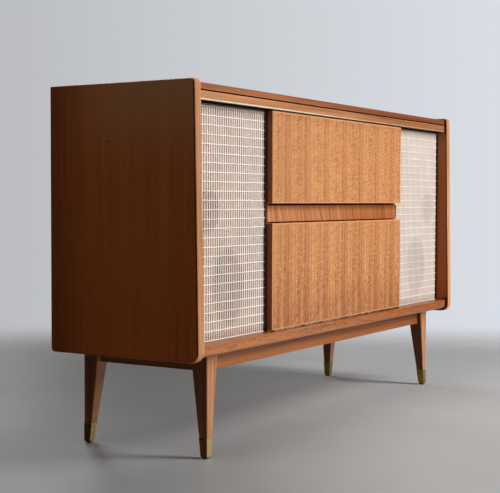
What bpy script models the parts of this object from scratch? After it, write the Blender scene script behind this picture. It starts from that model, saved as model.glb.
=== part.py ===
"""Stereo console on four tapered legs.

A veneered cabinet between two proud side panels. Speaker baffles under woven cloth stand left
and right. Between them an upper flap lifts before the receiver and a lower flap falls before
the record changer. Metres, +Z up, the front faces -Y, the origin is on the floor at the middle.
"""
from math import acos, atan2, cos, pi, radians, sin, tan

import bmesh
import bpy
from mathutils import Matrix, Vector

# Clearances
GAP = 0.0003
RUNNING_GAP = 0.0003

# Cabinet
CABINET_WIDTH = 1.400
CABINET_DEPTH = 0.396
PANEL_LIFT = 0.2192
PANEL_HEIGHT = 0.5884
PANEL_THICKNESS = 0.0235
FRONT_RAKE = 0.0104
TOP_FRONT_RADIUS = 0.010
FOOT_FRONT_RADIUS = 0.024
FOOT_BACK_RADIUS = 0.009
TOP_BACK_RADIUS = 0.003
PANEL_ARRIS = 0.0028

# Top board, top rail and bottom board
TOP_DROP = 0.0054
TOP_THICKNESS = 0.0161
TOP_SETBACK = 0.008
TOP_ARRIS = 0.0015
GROOVE_HEIGHT = 0.0018
GROOVE_DEPTH = 0.008
RAIL_HEIGHT = 0.0193
BEAD_SIZE = 0.003
BEAD_PROUD = 0.0006
BOTTOM_RISE = 0.0083
BOTTOM_THICKNESS = 0.0255
BOTTOM_SETBACK = 0.0114
BOTTOM_NOSE_RADIUS = 0.009
BOTTOM_ARRIS = 0.002
BOARD_BACK_INSET = 0.001

# Doors, pull strip and inner boards
DOOR_WIDTH = 0.724
DOOR_THICKNESS = 0.018
DOOR_SETBACK = 0.0225
DOOR_ARRIS = 0.001
UPPER_DOOR_HEIGHT = 0.2131
PULL_SPACE = 0.0458
STRIP_HEIGHT = 0.0383
STRIP_THICKNESS = 0.0058
STRIP_LIFT = 0.0028
PARTITION_THICKNESS = 0.016
SHELF_THICKNESS = 0.016

# Back panel, its vents and the lead's bush
BACK_THICKNESS = 0.005
BACK_INSET = 0.003
VENT_LENGTH = 0.060
VENT_WIDTH = 0.007
VENT_SPACE_X = 0.018
VENT_SPACE_Z = 0.013
VENT_ROWS = 3
VENT_COLUMNS = 7
VENT_DROP = 0.070
BUSH_BORE = 0.0045
BUSH_RADIUS = 0.009
BUSH_FLANGE = 0.013
BUSH_LENGTH = 0.012
BUSH_RISE = 0.040
BUSH_OFFSET = 0.180

# Speakers
BAFFLE_THICKNESS = 0.010
CLOTH_SETBACK = 0.0025
CLOTH_THICKNESS = 0.0012
WOOFER_WIDTH = 0.130
WOOFER_HEIGHT = 0.170
WOOFER_SIDE_SPACE = 0.094
WOOFER_LIFT = 0.028
WOOFER_DEPTH = 0.085
TWEETER_WIDTH = 0.096
TWEETER_SIDE_SPACE = 0.0235
TWEETER_DEPTH = 0.055
SPEAKER_SPACE = 0.036
SPEAKER_FLANGE = 0.010
SPEAKER_STEPS = 20

# Piano hinges of the two doors
HINGE_PIN_RADIUS = 0.0006
HINGE_CLEARANCE = 0.00035
HINGE_LEAF = 0.001
LEAF_HALF_SPACE = 0.0004
HINGE_LEAF_WIDTH = 0.014
OPEN_DOOR_CLEARANCE = 0.0005
HINGE_END = 0.004
KNUCKLE_COUNT = 17

# Door stays: a slotted arm on each door runs on a stud in the right partition
STAY_STANDOFF = 0.014
STAY_THICKNESS = 0.002
STAY_HALF_WIDTH = 0.006
STAY_PIVOT_DEPTH = 0.010
UPPER_STAY_REACH = 0.100
LOWER_STAY_REACH = 0.120
STAY_LEAD_DEG = 25.0
DOOR_TRAVEL_DEG = 90.0
STUD_RADIUS = 0.0032
STUD_HEAD = 0.0058
STUD_HEAD_THICKNESS = 0.0024
STAY_PIN_RADIUS = 0.0025
STAY_PIN_HEAD = 0.0045
BRACKET_THICKNESS = 0.003
BRACKET_HEIGHT = 0.022
BRACKET_FOOT = 0.018

# Base frame
LEG_INSET = 0.095
LEG_FRONT_SETBACK = 0.0425
LEG_BACK_SETBACK = 0.016
LEG_TOP_WIDTH = 0.043
LEG_FOOT_WIDTH = 0.016
LEG_ARRIS = 0.0015
FERRULE_HEIGHT = 0.045
FERRULE_WALL = 0.001
FERRULE_FLOOR = 0.002
FERRULE_CHAMFER = 0.0025
GLIDE_RADIUS = 0.0055
GLIDE_HEIGHT = 0.0025
APRON_HEIGHT = 0.039
APRON_THICKNESS = 0.018
APRON_SETBACK = 0.012

# Receiver behind the upper door
RECEIVER_SIDE_SPACE = 0.034
RECEIVER_SETBACK = 0.040
RECEIVER_HEADROOM = 0.014
FASCIA_THICKNESS = 0.008
FASCIA_RADIUS = 0.006
CHASSIS_HEIGHT = 0.070
CHASSIS_DEPTH = 0.138
CHASSIS_SIDE_SPACE = 0.020
CHASSIS_SHEET = 0.003
KNOB_BAY = 0.122
DIAL_HEIGHT = 0.086
DIAL_DROP = 0.034
GLASS_THICKNESS = 0.003
POINTER_WIDTH = 0.002
POINTER_THICKNESS = 0.002
POINTER_MARGIN = 0.006
KNOB_RADIUS = 0.021
KNOB_LENGTH = 0.019
KNOB_SHAFT = 0.003
KEY_COUNT = 4
KEY_WIDTH = 0.046
KEY_HEIGHT = 0.013
KEY_SPACE = 0.006
KEY_PROUD = 0.014
KEY_TAIL = 0.002
KEY_RISE = 0.038

# Record changer behind the lower door
DECK_WIDTH = 0.380
DECK_SPACE = 0.0235
DECK_THICKNESS = 0.006
DECK_RADIUS = 0.018
PLINTH_HEIGHT = 0.058
PLINTH_INSET = 0.012
PLATTER_RADIUS = 0.127
PLATTER_HEIGHT = 0.014
PLATTER_LIP = 0.0025
PLATTER_OFFSET = 0.035
SPINDLE_RADIUS = 0.0036
SPINDLE_FLANGE = 0.018
SPINDLE_FLANGE_HEIGHT = 0.003
SPINDLE_HEIGHT = 0.070
ARM_FROM_SIDE = 0.040
ARM_FROM_BACK = 0.055
ARM_TIP_SPACE = 0.030
ARM_TUBE = 0.004
ARM_CLEARANCE = 0.012
PILLAR_RADIUS = 0.015
HEADSHELL_LENGTH = 0.040
HEADSHELL_WIDTH = 0.018
HEADSHELL_HEIGHT = 0.010
COUNTERWEIGHT_RADIUS = 0.011
COUNTERWEIGHT_LENGTH = 0.026
COUNTERWEIGHT_REACH = 0.034

# Colours, roughness and metallic value of each finish
FINISHES = {
    "veneer": ((0.42, 0.20, 0.085), 0.38, 0.0),
    "side_veneer": ((0.22, 0.085, 0.030), 0.35, 0.0),
    "inner_board": ((0.20, 0.11, 0.055), 0.65, 0.0),
    "hardboard": ((0.16, 0.09, 0.05), 0.80, 0.0),
    "grille_cloth": ((0.72, 0.62, 0.54), 0.90, 0.0),
    "pale_bead": ((0.80, 0.70, 0.50), 0.35, 0.0),
    "brass": ((0.62, 0.47, 0.16), 0.30, 1.0),
    "nickel": ((0.60, 0.59, 0.56), 0.35, 1.0),
    "speaker_card": ((0.035, 0.032, 0.030), 0.85, 0.0),
    "grey_steel": ((0.30, 0.31, 0.31), 0.45, 0.6),
    "fascia": ((0.10, 0.07, 0.05), 0.40, 0.0),
    "dial_glass": ((0.05, 0.06, 0.05), 0.06, 0.0),
    "ivory": ((0.75, 0.68, 0.52), 0.30, 0.0),
    "knob": ((0.14, 0.08, 0.05), 0.25, 0.0),
    "deck_enamel": ((0.58, 0.55, 0.47), 0.35, 0.0),
    "rubber": ((0.025, 0.025, 0.025), 0.80, 0.0),
}

# Places worked out from the sizes
HALF_WIDTH = CABINET_WIDTH / 2
INNER_X = HALF_WIDTH - PANEL_THICKNESS
FRONT_FOOT = -CABINET_DEPTH / 2
FRONT_TOP = FRONT_FOOT + FRONT_RAKE
BACK = CABINET_DEPTH / 2
PANEL_TOP = PANEL_LIFT + PANEL_HEIGHT
BOARD_BACK = BACK - BOARD_BACK_INSET
TOP_FACE = PANEL_TOP - TOP_DROP
TOP_UNDER = TOP_FACE - TOP_THICKNESS
RAIL_TOP = TOP_UNDER - GAP
RAIL_LOW = RAIL_TOP - RAIL_HEIGHT
RAIL_FRONT = FRONT_TOP + TOP_SETBACK
BOTTOM_UNDER = PANEL_LIFT + BOTTOM_RISE
BOTTOM_FACE = BOTTOM_UNDER + BOTTOM_THICKNESS
BOTTOM_FRONT = FRONT_FOOT + BOTTOM_SETBACK
DOOR_FRONT = FRONT_FOOT + DOOR_SETBACK
DOOR_BACK = DOOR_FRONT + DOOR_THICKNESS
CARCASS_FRONT = DOOR_BACK + GAP
BACK_FACE = BACK - BACK_INSET
BACK_FRONT = BACK_FACE - BACK_THICKNESS
CARCASS_BACK = BACK_FRONT - GAP
DOOR_HALF = DOOR_WIDTH / 2
PARTITION_IN = DOOR_HALF - PARTITION_THICKNESS
HINGE_BORE_RADIUS = HINGE_PIN_RADIUS + HINGE_CLEARANCE
KNUCKLE_RADIUS = HINGE_LEAF + LEAF_HALF_SPACE
HINGE_SPACE = 2 * (KNUCKLE_RADIUS + GAP)
HINGE_Y = DOOR_FRONT + KNUCKLE_RADIUS + GAP - OPEN_DOOR_CLEARANCE
UPPER_HINGE_Z = RAIL_LOW - GAP - KNUCKLE_RADIUS
LOWER_HINGE_Z = BOTTOM_FACE + GAP + KNUCKLE_RADIUS
UPPER_DOOR_TOP = RAIL_LOW - HINGE_SPACE
UPPER_DOOR_LOW = UPPER_DOOR_TOP - UPPER_DOOR_HEIGHT
LOWER_DOOR_TOP = UPPER_DOOR_LOW - PULL_SPACE
LOWER_DOOR_LOW = BOTTOM_FACE + HINGE_SPACE
STRIP_LOW = LOWER_DOOR_TOP + STRIP_LIFT
SHELF_LOW = STRIP_LOW + STRIP_HEIGHT / 2 - SHELF_THICKNESS / 2
SHELF_TOP = SHELF_LOW + SHELF_THICKNESS
CLOTH_FRONT = DOOR_BACK + CLOTH_SETBACK
CLOTH_BACK = CLOTH_FRONT + CLOTH_THICKNESS
BAFFLE_FRONT = CLOTH_BACK + GAP
BAFFLE_BACK = BAFFLE_FRONT + BAFFLE_THICKNESS
WOOFER_X = DOOR_HALF + WOOFER_SIDE_SPACE + WOOFER_WIDTH / 2
WOOFER_Z = BOTTOM_FACE + WOOFER_LIFT + WOOFER_HEIGHT / 2
TWEETER_X = INNER_X - TWEETER_SIDE_SPACE - TWEETER_WIDTH / 2
TWEETER_Z = WOOFER_Z + WOOFER_HEIGHT / 2 + SPEAKER_SPACE + TWEETER_WIDTH / 2
LEG_OUT_X = HALF_WIDTH - LEG_INSET
LEG_TOP = BOTTOM_UNDER - GAP
APRON_LOW = LEG_TOP - APRON_HEIGHT
FASCIA_FRONT = DOOR_BACK + RECEIVER_SETBACK
FASCIA_BACK = FASCIA_FRONT + FASCIA_THICKNESS
FASCIA_HALF = PARTITION_IN - RECEIVER_SIDE_SPACE
FASCIA_LOW = SHELF_TOP + GAP
FASCIA_TOP = TOP_UNDER - RECEIVER_HEADROOM
DIAL_HALF = FASCIA_HALF - KNOB_BAY
KNOB_X = FASCIA_HALF - KNOB_BAY / 2
DIAL_Z = FASCIA_TOP - DIAL_DROP - DIAL_HEIGHT / 2
DECK_FRONT = CARCASS_FRONT + DECK_SPACE
DECK_BACK = CARCASS_BACK - DECK_SPACE
DECK_Y = (DECK_FRONT + DECK_BACK) / 2
DECK_UNDER = BOTTOM_FACE + GAP + PLINTH_HEIGHT + GAP
DECK_FACE = DECK_UNDER + DECK_THICKNESS
PLATTER_LOW = DECK_FACE + GAP + SPINDLE_FLANGE_HEIGHT + GAP
PLATTER_TOP = PLATTER_LOW + PLATTER_HEIGHT

# Turns of a flat outline's own X, Y, Z into the cabinet's directions
FACING = {
    "top": Matrix.Identity(3),
    "front": Matrix(((1, 0, 0), (0, 0, -1), (0, 1, 0))),
    "side": Matrix(((0, 0, 1), (1, 0, 0), (0, 1, 0))),
}


def start_scene():
    """Empty the scene and make the two collections."""
    for old in list(bpy.data.objects):
        bpy.data.objects.remove(old, do_unlink=True)
    made = {}
    for name in ("stereo_console", "cutters"):
        group = bpy.data.collections.get(name) or bpy.data.collections.new(name)
        if name not in bpy.context.scene.collection.children:
            bpy.context.scene.collection.children.link(group)
        made[name] = group
    return made


def make_finishes():
    """One Principled material for each finish."""
    made = {}
    for name, (colour, roughness, metallic) in FINISHES.items():
        finish = bpy.data.materials.get(name) or bpy.data.materials.new(name)
        finish.use_nodes = True
        shader = finish.node_tree.nodes["Principled BSDF"]
        shader.inputs["Base Color"].default_value = (*colour, 1.0)
        shader.inputs["Roughness"].default_value = roughness
        shader.inputs["Metallic"].default_value = metallic
        made[name] = finish
    return made


COLLECTIONS = start_scene()
MATERIALS = make_finishes()


def add_piece(name, mesh, finish, place=(0, 0, 0), turn=None):
    """Put a mesh into the scene as a sub-part, or as a hidden tool where it has no finish."""
    piece = bpy.data.objects.new(name, mesh)
    piece.location = place
    if turn is not None:
        piece.rotation_euler = turn.to_euler()
    if finish is None:
        COLLECTIONS["cutters"].objects.link(piece)
        piece.hide_render = True
        piece.display_type = "WIRE"
    else:
        COLLECTIONS["stereo_console"].objects.link(piece)
        mesh.materials.append(MATERIALS[finish])
    return piece


def soften(piece, width, segments=1):
    """Round the sharp edges of a piece."""
    bevel = piece.modifiers.new("arris", "BEVEL")
    bevel.width = width
    bevel.segments = segments
    bevel.limit_method = "ANGLE"
    bevel.angle_limit = radians(40)


def join(piece, tool):
    """Join a hidden tool on to a piece."""
    step = piece.modifiers.new("join", "BOOLEAN")
    step.operation = "UNION"
    step.solver = "EXACT"
    step.object = tool


def hang_on(name, place, members):
    """Hang moving pieces on an empty that stands on their joint's axis."""
    axis = bpy.data.objects.new(name, None)
    axis.location = place
    axis.empty_display_size = 0.02
    COLLECTIONS["stereo_console"].objects.link(axis)
    for piece in members:
        piece.parent = axis
        piece.matrix_parent_inverse = Matrix.Translation(place).inverted()


def add_block(shape, low, high):
    """Add a rectangular block between two corners to a shape."""
    low = Vector(low)
    high = Vector(high)
    place = Matrix.Translation((low + high) / 2) @ Matrix.Diagonal((*(high - low), 1.0))
    bmesh.ops.create_cube(shape, size=1.0, matrix=place)


def box(name, low, high, finish, arris=0.0, origin=None):
    """Rectangular block between two corners, with its origin at its middle or where stated."""
    origin = (Vector(low) + Vector(high)) / 2 if origin is None else Vector(origin)
    mesh = bpy.data.meshes.new(name)
    shape = bmesh.new()
    add_block(shape, Vector(low) - origin, Vector(high) - origin)
    shape.to_mesh(mesh)
    shape.free()
    piece = add_piece(name, mesh, finish, origin)
    if arris:
        soften(piece, arris)
    return piece


def rounded(corners, steps=5):
    """Outline through corners (u, v, radius), with an arc at each corner that has a radius."""
    points = []
    for index, (u, v, radius) in enumerate(corners):
        here = Vector((u, v))
        if radius <= 0:
            points.append(here)
            continue
        back = (Vector(corners[index - 1][:2]) - here).normalized()
        ahead = (Vector(corners[(index + 1) % len(corners)][:2]) - here).normalized()
        half = acos(back.dot(ahead)) / 2
        middle = here + (back + ahead).normalized() * radius / sin(half)
        first = here + back * radius / tan(half) - middle
        last = here + ahead * radius / tan(half) - middle
        start = atan2(first.y, first.x)
        sweep = (atan2(last.y, last.x) - start + pi) % (2 * pi) - pi
        for step in range(steps + 1):
            angle = start + sweep * step / steps
            points.append(middle + radius * Vector((cos(angle), sin(angle))))
    return points


def rectangle(low, high, radius=0.0, steps=5):
    """Outline of a rectangle between two corners."""
    (u0, v0), (u1, v1) = low, high
    return rounded([(u0, v0, radius), (u1, v0, radius), (u1, v1, radius), (u0, v1, radius)], steps)


def oval(middle, width, height, steps=28):
    """Outline of an ellipse or a circle."""
    angles = [2 * pi * step / steps for step in range(steps)]
    return [Vector((middle[0] + width / 2 * cos(a), middle[1] + height / 2 * sin(a))) for a in angles]


def slot(start, end, half_width, steps=5):
    """Outline of a level slot with round ends about two points on one line."""
    points = []
    for middle, first in ((end, -pi / 2), (start, pi / 2)):
        for step in range(steps + 1):
            angle = first + pi * step / steps
            u = middle[0] + half_width * cos(angle)
            v = middle[1] + half_width * sin(angle)
            points.append(Vector((u, v)))
    return points


def sheet(name, outlines, thickness, place, facing, finish, tilt=0.0):
    """Flat outline, less the holes inside it, filled and given a thickness about its plane."""
    drawing = bpy.data.curves.new(name, "CURVE")
    drawing.dimensions = "2D"
    drawing.fill_mode = "BOTH"
    drawing.extrude = thickness / 2
    for outline in outlines:
        line = drawing.splines.new("POLY")
        line.points.add(len(outline) - 1)
        line.use_cyclic_u = True
        for point, (u, v) in zip(line.points, outline):
            point.co = (u, v, 0.0, 1.0)
    sketch = bpy.data.objects.new(name, drawing)
    COLLECTIONS["cutters"].objects.link(sketch)
    evaluated = sketch.evaluated_get(bpy.context.evaluated_depsgraph_get())
    mesh = bpy.data.meshes.new_from_object(evaluated)
    mesh.materials.clear()
    bpy.data.objects.remove(sketch, do_unlink=True)
    bpy.data.curves.remove(drawing)
    shape = bmesh.new()
    shape.from_mesh(mesh)
    bmesh.ops.remove_doubles(shape, verts=shape.verts, dist=1e-6)
    if len(outlines) == 1:
        bmesh.ops.dissolve_limit(shape, angle_limit=radians(0.1), verts=shape.verts, edges=shape.edges)
    bmesh.ops.recalc_face_normals(shape, faces=shape.faces)
    shape.to_mesh(mesh)
    shape.free()
    turn = Matrix.Rotation(tilt, 3, "X") @ FACING[facing]
    piece = add_piece(name, mesh, finish, place, turn)
    piece.data.name = name
    return piece


def beam(name, outline, half_length, finish):
    """Cross-section in Y and Z, drawn out along X between the side panels."""
    return sheet(name, [outline], 2 * half_length, (0, 0, 0), "side", finish)


def turned(name, profiles, finish, place, axis="Z", steps=24, closed=False):
    """Profiles of (radius, height), outer side downwards, turned about an axis through a place."""
    verts = []
    edges = []
    for profile in profiles:
        start = len(verts)
        verts += [(radius, 0.0, height) for radius, height in profile]
        edges += [(index, index + 1) for index in range(start, len(verts) - 1)]
        if closed:
            edges.append((len(verts) - 1, start))
    mesh = bpy.data.meshes.new(name)
    mesh.from_pydata(verts, edges, [])
    piece = add_piece(name, mesh, finish, place, AXIS_TURN[axis])
    screw = piece.modifiers.new("turn", "SCREW")
    screw.steps = steps
    screw.render_steps = steps
    screw.use_merge_vertices = True
    screw.merge_threshold = 1e-6
    return piece


AXIS_TURN = {
    "Z": Matrix.Identity(3),
    "X": Matrix.Rotation(pi / 2, 3, "Y"),
    "front": Matrix.Rotation(pi / 2, 3, "X"),
    "rear": Matrix.Rotation(-pi / 2, 3, "X"),
}


def loft(name, rings, finish):
    """Skin over a stack of four-cornered rings, closed at both ends."""
    shape = bmesh.new()
    rows = [[shape.verts.new(point) for point in ring] for ring in rings]
    for lower, upper in zip(rows, rows[1:]):
        for i in range(len(lower)):
            shape.faces.new((lower[i - 1], lower[i], upper[i], upper[i - 1]))
    shape.faces.new(rows[0])
    shape.faces.new(rows[-1])
    bmesh.ops.recalc_face_normals(shape, faces=shape.faces)
    mesh = bpy.data.meshes.new(name)
    shape.to_mesh(mesh)
    shape.free()
    return add_piece(name, mesh, finish)


def side_panels():
    """Two slabs with a raked front edge and rounded corners, proud of all the rest."""
    outline = rounded([
        (FRONT_FOOT, PANEL_LIFT, FOOT_FRONT_RADIUS),
        (BACK, PANEL_LIFT, FOOT_BACK_RADIUS),
        (BACK, PANEL_TOP, TOP_BACK_RADIUS),
        (FRONT_TOP, PANEL_TOP, TOP_FRONT_RADIUS),
    ], steps=7)
    for name, side in (("left_side_panel", -1), ("right_side_panel", 1)):
        middle = side * (HALF_WIDTH - PANEL_THICKNESS / 2)
        panel = sheet(name, [outline], PANEL_THICKNESS, (middle, 0, 0), "side", "side_veneer")
        soften(panel, PANEL_ARRIS, 2)


def boards():
    """Top board with its shadow groove, top rail with its bead, and the bottom board."""
    length = INNER_X - GAP
    groove_back = RAIL_FRONT + GROOVE_DEPTH
    groove_top = TOP_UNDER + GROOVE_HEIGHT
    beam("top_board", rounded([
        (RAIL_FRONT, groove_top, TOP_ARRIS / 2),
        (groove_back, groove_top, 0),
        (groove_back, TOP_UNDER, 0),
        (BOARD_BACK, TOP_UNDER, 0),
        (BOARD_BACK, TOP_FACE, TOP_ARRIS),
        (RAIL_FRONT, TOP_FACE, TOP_ARRIS),
    ], steps=3), length, "veneer")
    notch = BEAD_SIZE + GAP
    beam("top_rail", rounded([
        (RAIL_FRONT, RAIL_LOW + notch, 0),
        (RAIL_FRONT + notch, RAIL_LOW + notch, 0),
        (RAIL_FRONT + notch, RAIL_LOW, 0),
        (DOOR_BACK, RAIL_LOW, 0),
        (DOOR_BACK, RAIL_TOP, 0),
        (RAIL_FRONT, RAIL_TOP, TOP_ARRIS),
    ], steps=3), length, "veneer")
    bead_front = RAIL_FRONT - BEAD_PROUD
    bead_round = BEAD_SIZE * 0.4
    beam("rail_bead", rounded([
        (bead_front, RAIL_LOW, bead_round),
        (RAIL_FRONT + BEAD_SIZE, RAIL_LOW, 0),
        (RAIL_FRONT + BEAD_SIZE, RAIL_LOW + BEAD_SIZE, 0),
        (bead_front, RAIL_LOW + BEAD_SIZE, bead_round),
    ], steps=3), length, "pale_bead")
    beam("bottom_board", rounded([
        (BOTTOM_FRONT, BOTTOM_UNDER, BOTTOM_NOSE_RADIUS),
        (BOARD_BACK, BOTTOM_UNDER, 0),
        (BOARD_BACK, BOTTOM_FACE, 0),
        (BOTTOM_FRONT, BOTTOM_FACE, BOTTOM_ARRIS),
    ]), length, "veneer")


def inner_boards():
    """Partitions beside the doors, the shelf between the compartments and the pull strip."""
    low = BOTTOM_FACE + GAP
    high = TOP_UNDER - GAP
    for name, side in (("left_partition", -1), ("right_partition", 1)):
        ends = sorted((side * PARTITION_IN, side * DOOR_HALF))
        box(name, (ends[0], CARCASS_FRONT, low), (ends[1], CARCASS_BACK, high), "inner_board")
    half = PARTITION_IN - GAP
    box("middle_shelf", (-half, CARCASS_FRONT, SHELF_LOW), (half, CARCASS_BACK, SHELF_TOP), "inner_board")
    strip_front = DOOR_BACK - STRIP_THICKNESS
    box("pull_strip", (-DOOR_HALF, strip_front, STRIP_LOW),
        (DOOR_HALF, DOOR_BACK, STRIP_LOW + STRIP_HEIGHT), "veneer", DOOR_ARRIS)


def back_panel():
    """Hardboard back with rows of vents behind the receiver and a bush for the lead."""
    half = INNER_X - GAP
    bush = (BUSH_OFFSET, BOTTOM_FACE + BUSH_RISE)
    outlines = [
        rectangle((-half, BOTTOM_FACE + GAP), (half, TOP_UNDER - GAP)),
        oval(bush, 2 * (BUSH_RADIUS + GAP), 2 * (BUSH_RADIUS + GAP), 16),
    ]
    reach = VENT_LENGTH / 2 - VENT_WIDTH / 2
    for row in range(VENT_ROWS):
        for column in range(VENT_COLUMNS):
            u = (column - (VENT_COLUMNS - 1) / 2) * (VENT_LENGTH + VENT_SPACE_X)
            v = TOP_UNDER - VENT_DROP - row * (VENT_WIDTH + VENT_SPACE_Z)
            outlines.append(slot((u - reach, v), (u + reach, v), VENT_WIDTH / 2, 3))
    middle = (BACK_FRONT + BACK_FACE) / 2
    sheet("back_panel", outlines, BACK_THICKNESS, (0, middle, 0), "front", "hardboard")
    flange_top = BACK_INSET - GAP
    tail = flange_top - BUSH_LENGTH
    turned("lead_bush", [[
        (BUSH_BORE, flange_top), (BUSH_FLANGE, flange_top), (BUSH_FLANGE, GAP),
        (BUSH_RADIUS, GAP), (BUSH_RADIUS, tail), (BUSH_BORE, tail),
    ]], "rubber", (bush[0], BACK_FACE, bush[1]), "rear", 16, closed=True)


def speaker(name, x, z, width, height, depth):
    """Loudspeaker with an open cone, a flange behind the baffle, a basket and a magnet."""
    radius = height / 2
    rim = radius + SPEAKER_FLANGE
    profile = [
        (0.0, -0.30 * depth), (0.24 * radius, -0.36 * depth), (0.28 * radius, -0.44 * depth),
        (0.90 * radius, -0.06 * depth), (0.95 * radius, 0.0), (rim, 0.0), (rim, -0.04 * depth),
        (0.97 * radius, -0.06 * depth), (0.46 * radius, -0.62 * depth), (0.46 * radius, -depth),
        (0.0, -depth),
    ]
    place = (x, BAFFLE_BACK + GAP, z)
    piece = turned(name, [profile], "speaker_card", place, "front", SPEAKER_STEPS)
    piece.scale.x = width / height


def speaker_bays():
    """Baffle with two cut-outs, two loudspeakers behind it and cloth before it, on each side."""
    near = DOOR_HALF + GAP
    far = INNER_X - GAP
    low = BOTTOM_FACE + GAP
    high = TOP_UNDER - GAP
    for word, side in (("left", -1), ("right", 1)):
        woofer = (side * WOOFER_X, WOOFER_Z)
        tweeter = (side * TWEETER_X, TWEETER_Z)
        ends = sorted((side * near, side * far))
        outlines = [
            rectangle((ends[0], low), (ends[1], high)),
            oval(woofer, WOOFER_WIDTH, WOOFER_HEIGHT),
            oval(tweeter, TWEETER_WIDTH, TWEETER_WIDTH),
        ]
        middle = (BAFFLE_FRONT + BAFFLE_BACK) / 2
        sheet(word + "_baffle", outlines, BAFFLE_THICKNESS, (0, middle, 0), "front", "inner_board")
        box(word + "_grille_cloth", (ends[0], CLOTH_FRONT, low), (ends[1], CLOTH_BACK, high), "grille_cloth")
        speaker(word + "_woofer", *woofer, WOOFER_WIDTH, WOOFER_HEIGHT, WOOFER_DEPTH)
        speaker(word + "_tweeter", *tweeter, TWEETER_WIDTH, TWEETER_WIDTH, TWEETER_DEPTH)


def hinge_leaf(name, middle_z, spans, tip):
    """Plate of a piano hinge, with a tooth from its front edge to each of its own knuckles."""
    half = DOOR_HALF - HINGE_END
    front = HINGE_Y + KNUCKLE_RADIUS + GAP
    low = middle_z - HINGE_LEAF / 2
    high = middle_z + HINGE_LEAF / 2
    plate = box(name, (-half, front, low), (half, HINGE_Y + HINGE_LEAF_WIDTH, high), "nickel")
    mesh = bpy.data.meshes.new(name + "_teeth")
    shape = bmesh.new()
    for start, end in spans:
        add_block(shape, (start + GAP, tip, low), (end - GAP, front + HINGE_LEAF, high))
    shape.to_mesh(mesh)
    shape.free()
    join(plate, add_piece(name + "_teeth", mesh, None))
    return plate


def piano_hinge(word, axis_z, side):
    """Full-width hinge: a fixed leaf that holds the pin, and a door leaf that turns on it.

    The door lies above the pin where side is 1 and below it where side is -1.
    """
    half = DOOR_HALF - HINGE_END
    pitch = 2 * half / KNUCKLE_COUNT
    starts = [-half + pitch * i for i in range(KNUCKLE_COUNT)]
    spans = [(start + GAP / 2, start + pitch - GAP / 2) for start in starts]
    leaf_z = KNUCKLE_RADIUS - HINGE_LEAF / 2
    shaft = [(0.0, spans[-1][1])]
    for start, end in reversed(spans[0::2]):
        shaft += [(KNUCKLE_RADIUS, end), (KNUCKLE_RADIUS, start)]
        if start > spans[0][0]:
            shaft += [(HINGE_PIN_RADIUS, start), (HINGE_PIN_RADIUS, start - pitch - GAP)]
    shaft.append((0.0, spans[0][0]))
    fixed = hinge_leaf(word + "_hinge_fixed_leaf", axis_z - side * leaf_z, spans[0::2], HINGE_Y)
    join(fixed, turned(word + "_hinge_shaft", [shaft], None, (0, HINGE_Y, axis_z), "X", 10))
    tubes = [[
        (HINGE_BORE_RADIUS, end), (KNUCKLE_RADIUS, end),
        (KNUCKLE_RADIUS, start), (HINGE_BORE_RADIUS, start),
    ] for start, end in spans[1::2]]
    moving = hinge_leaf(word + "_hinge_door_leaf", axis_z + side * leaf_z, spans[1::2],
                        HINGE_Y + HINGE_BORE_RADIUS)
    join(moving, turned(word + "_hinge_tubes", tubes, None, (0, HINGE_Y, axis_z), "X", 10, closed=True))
    return moving


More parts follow.
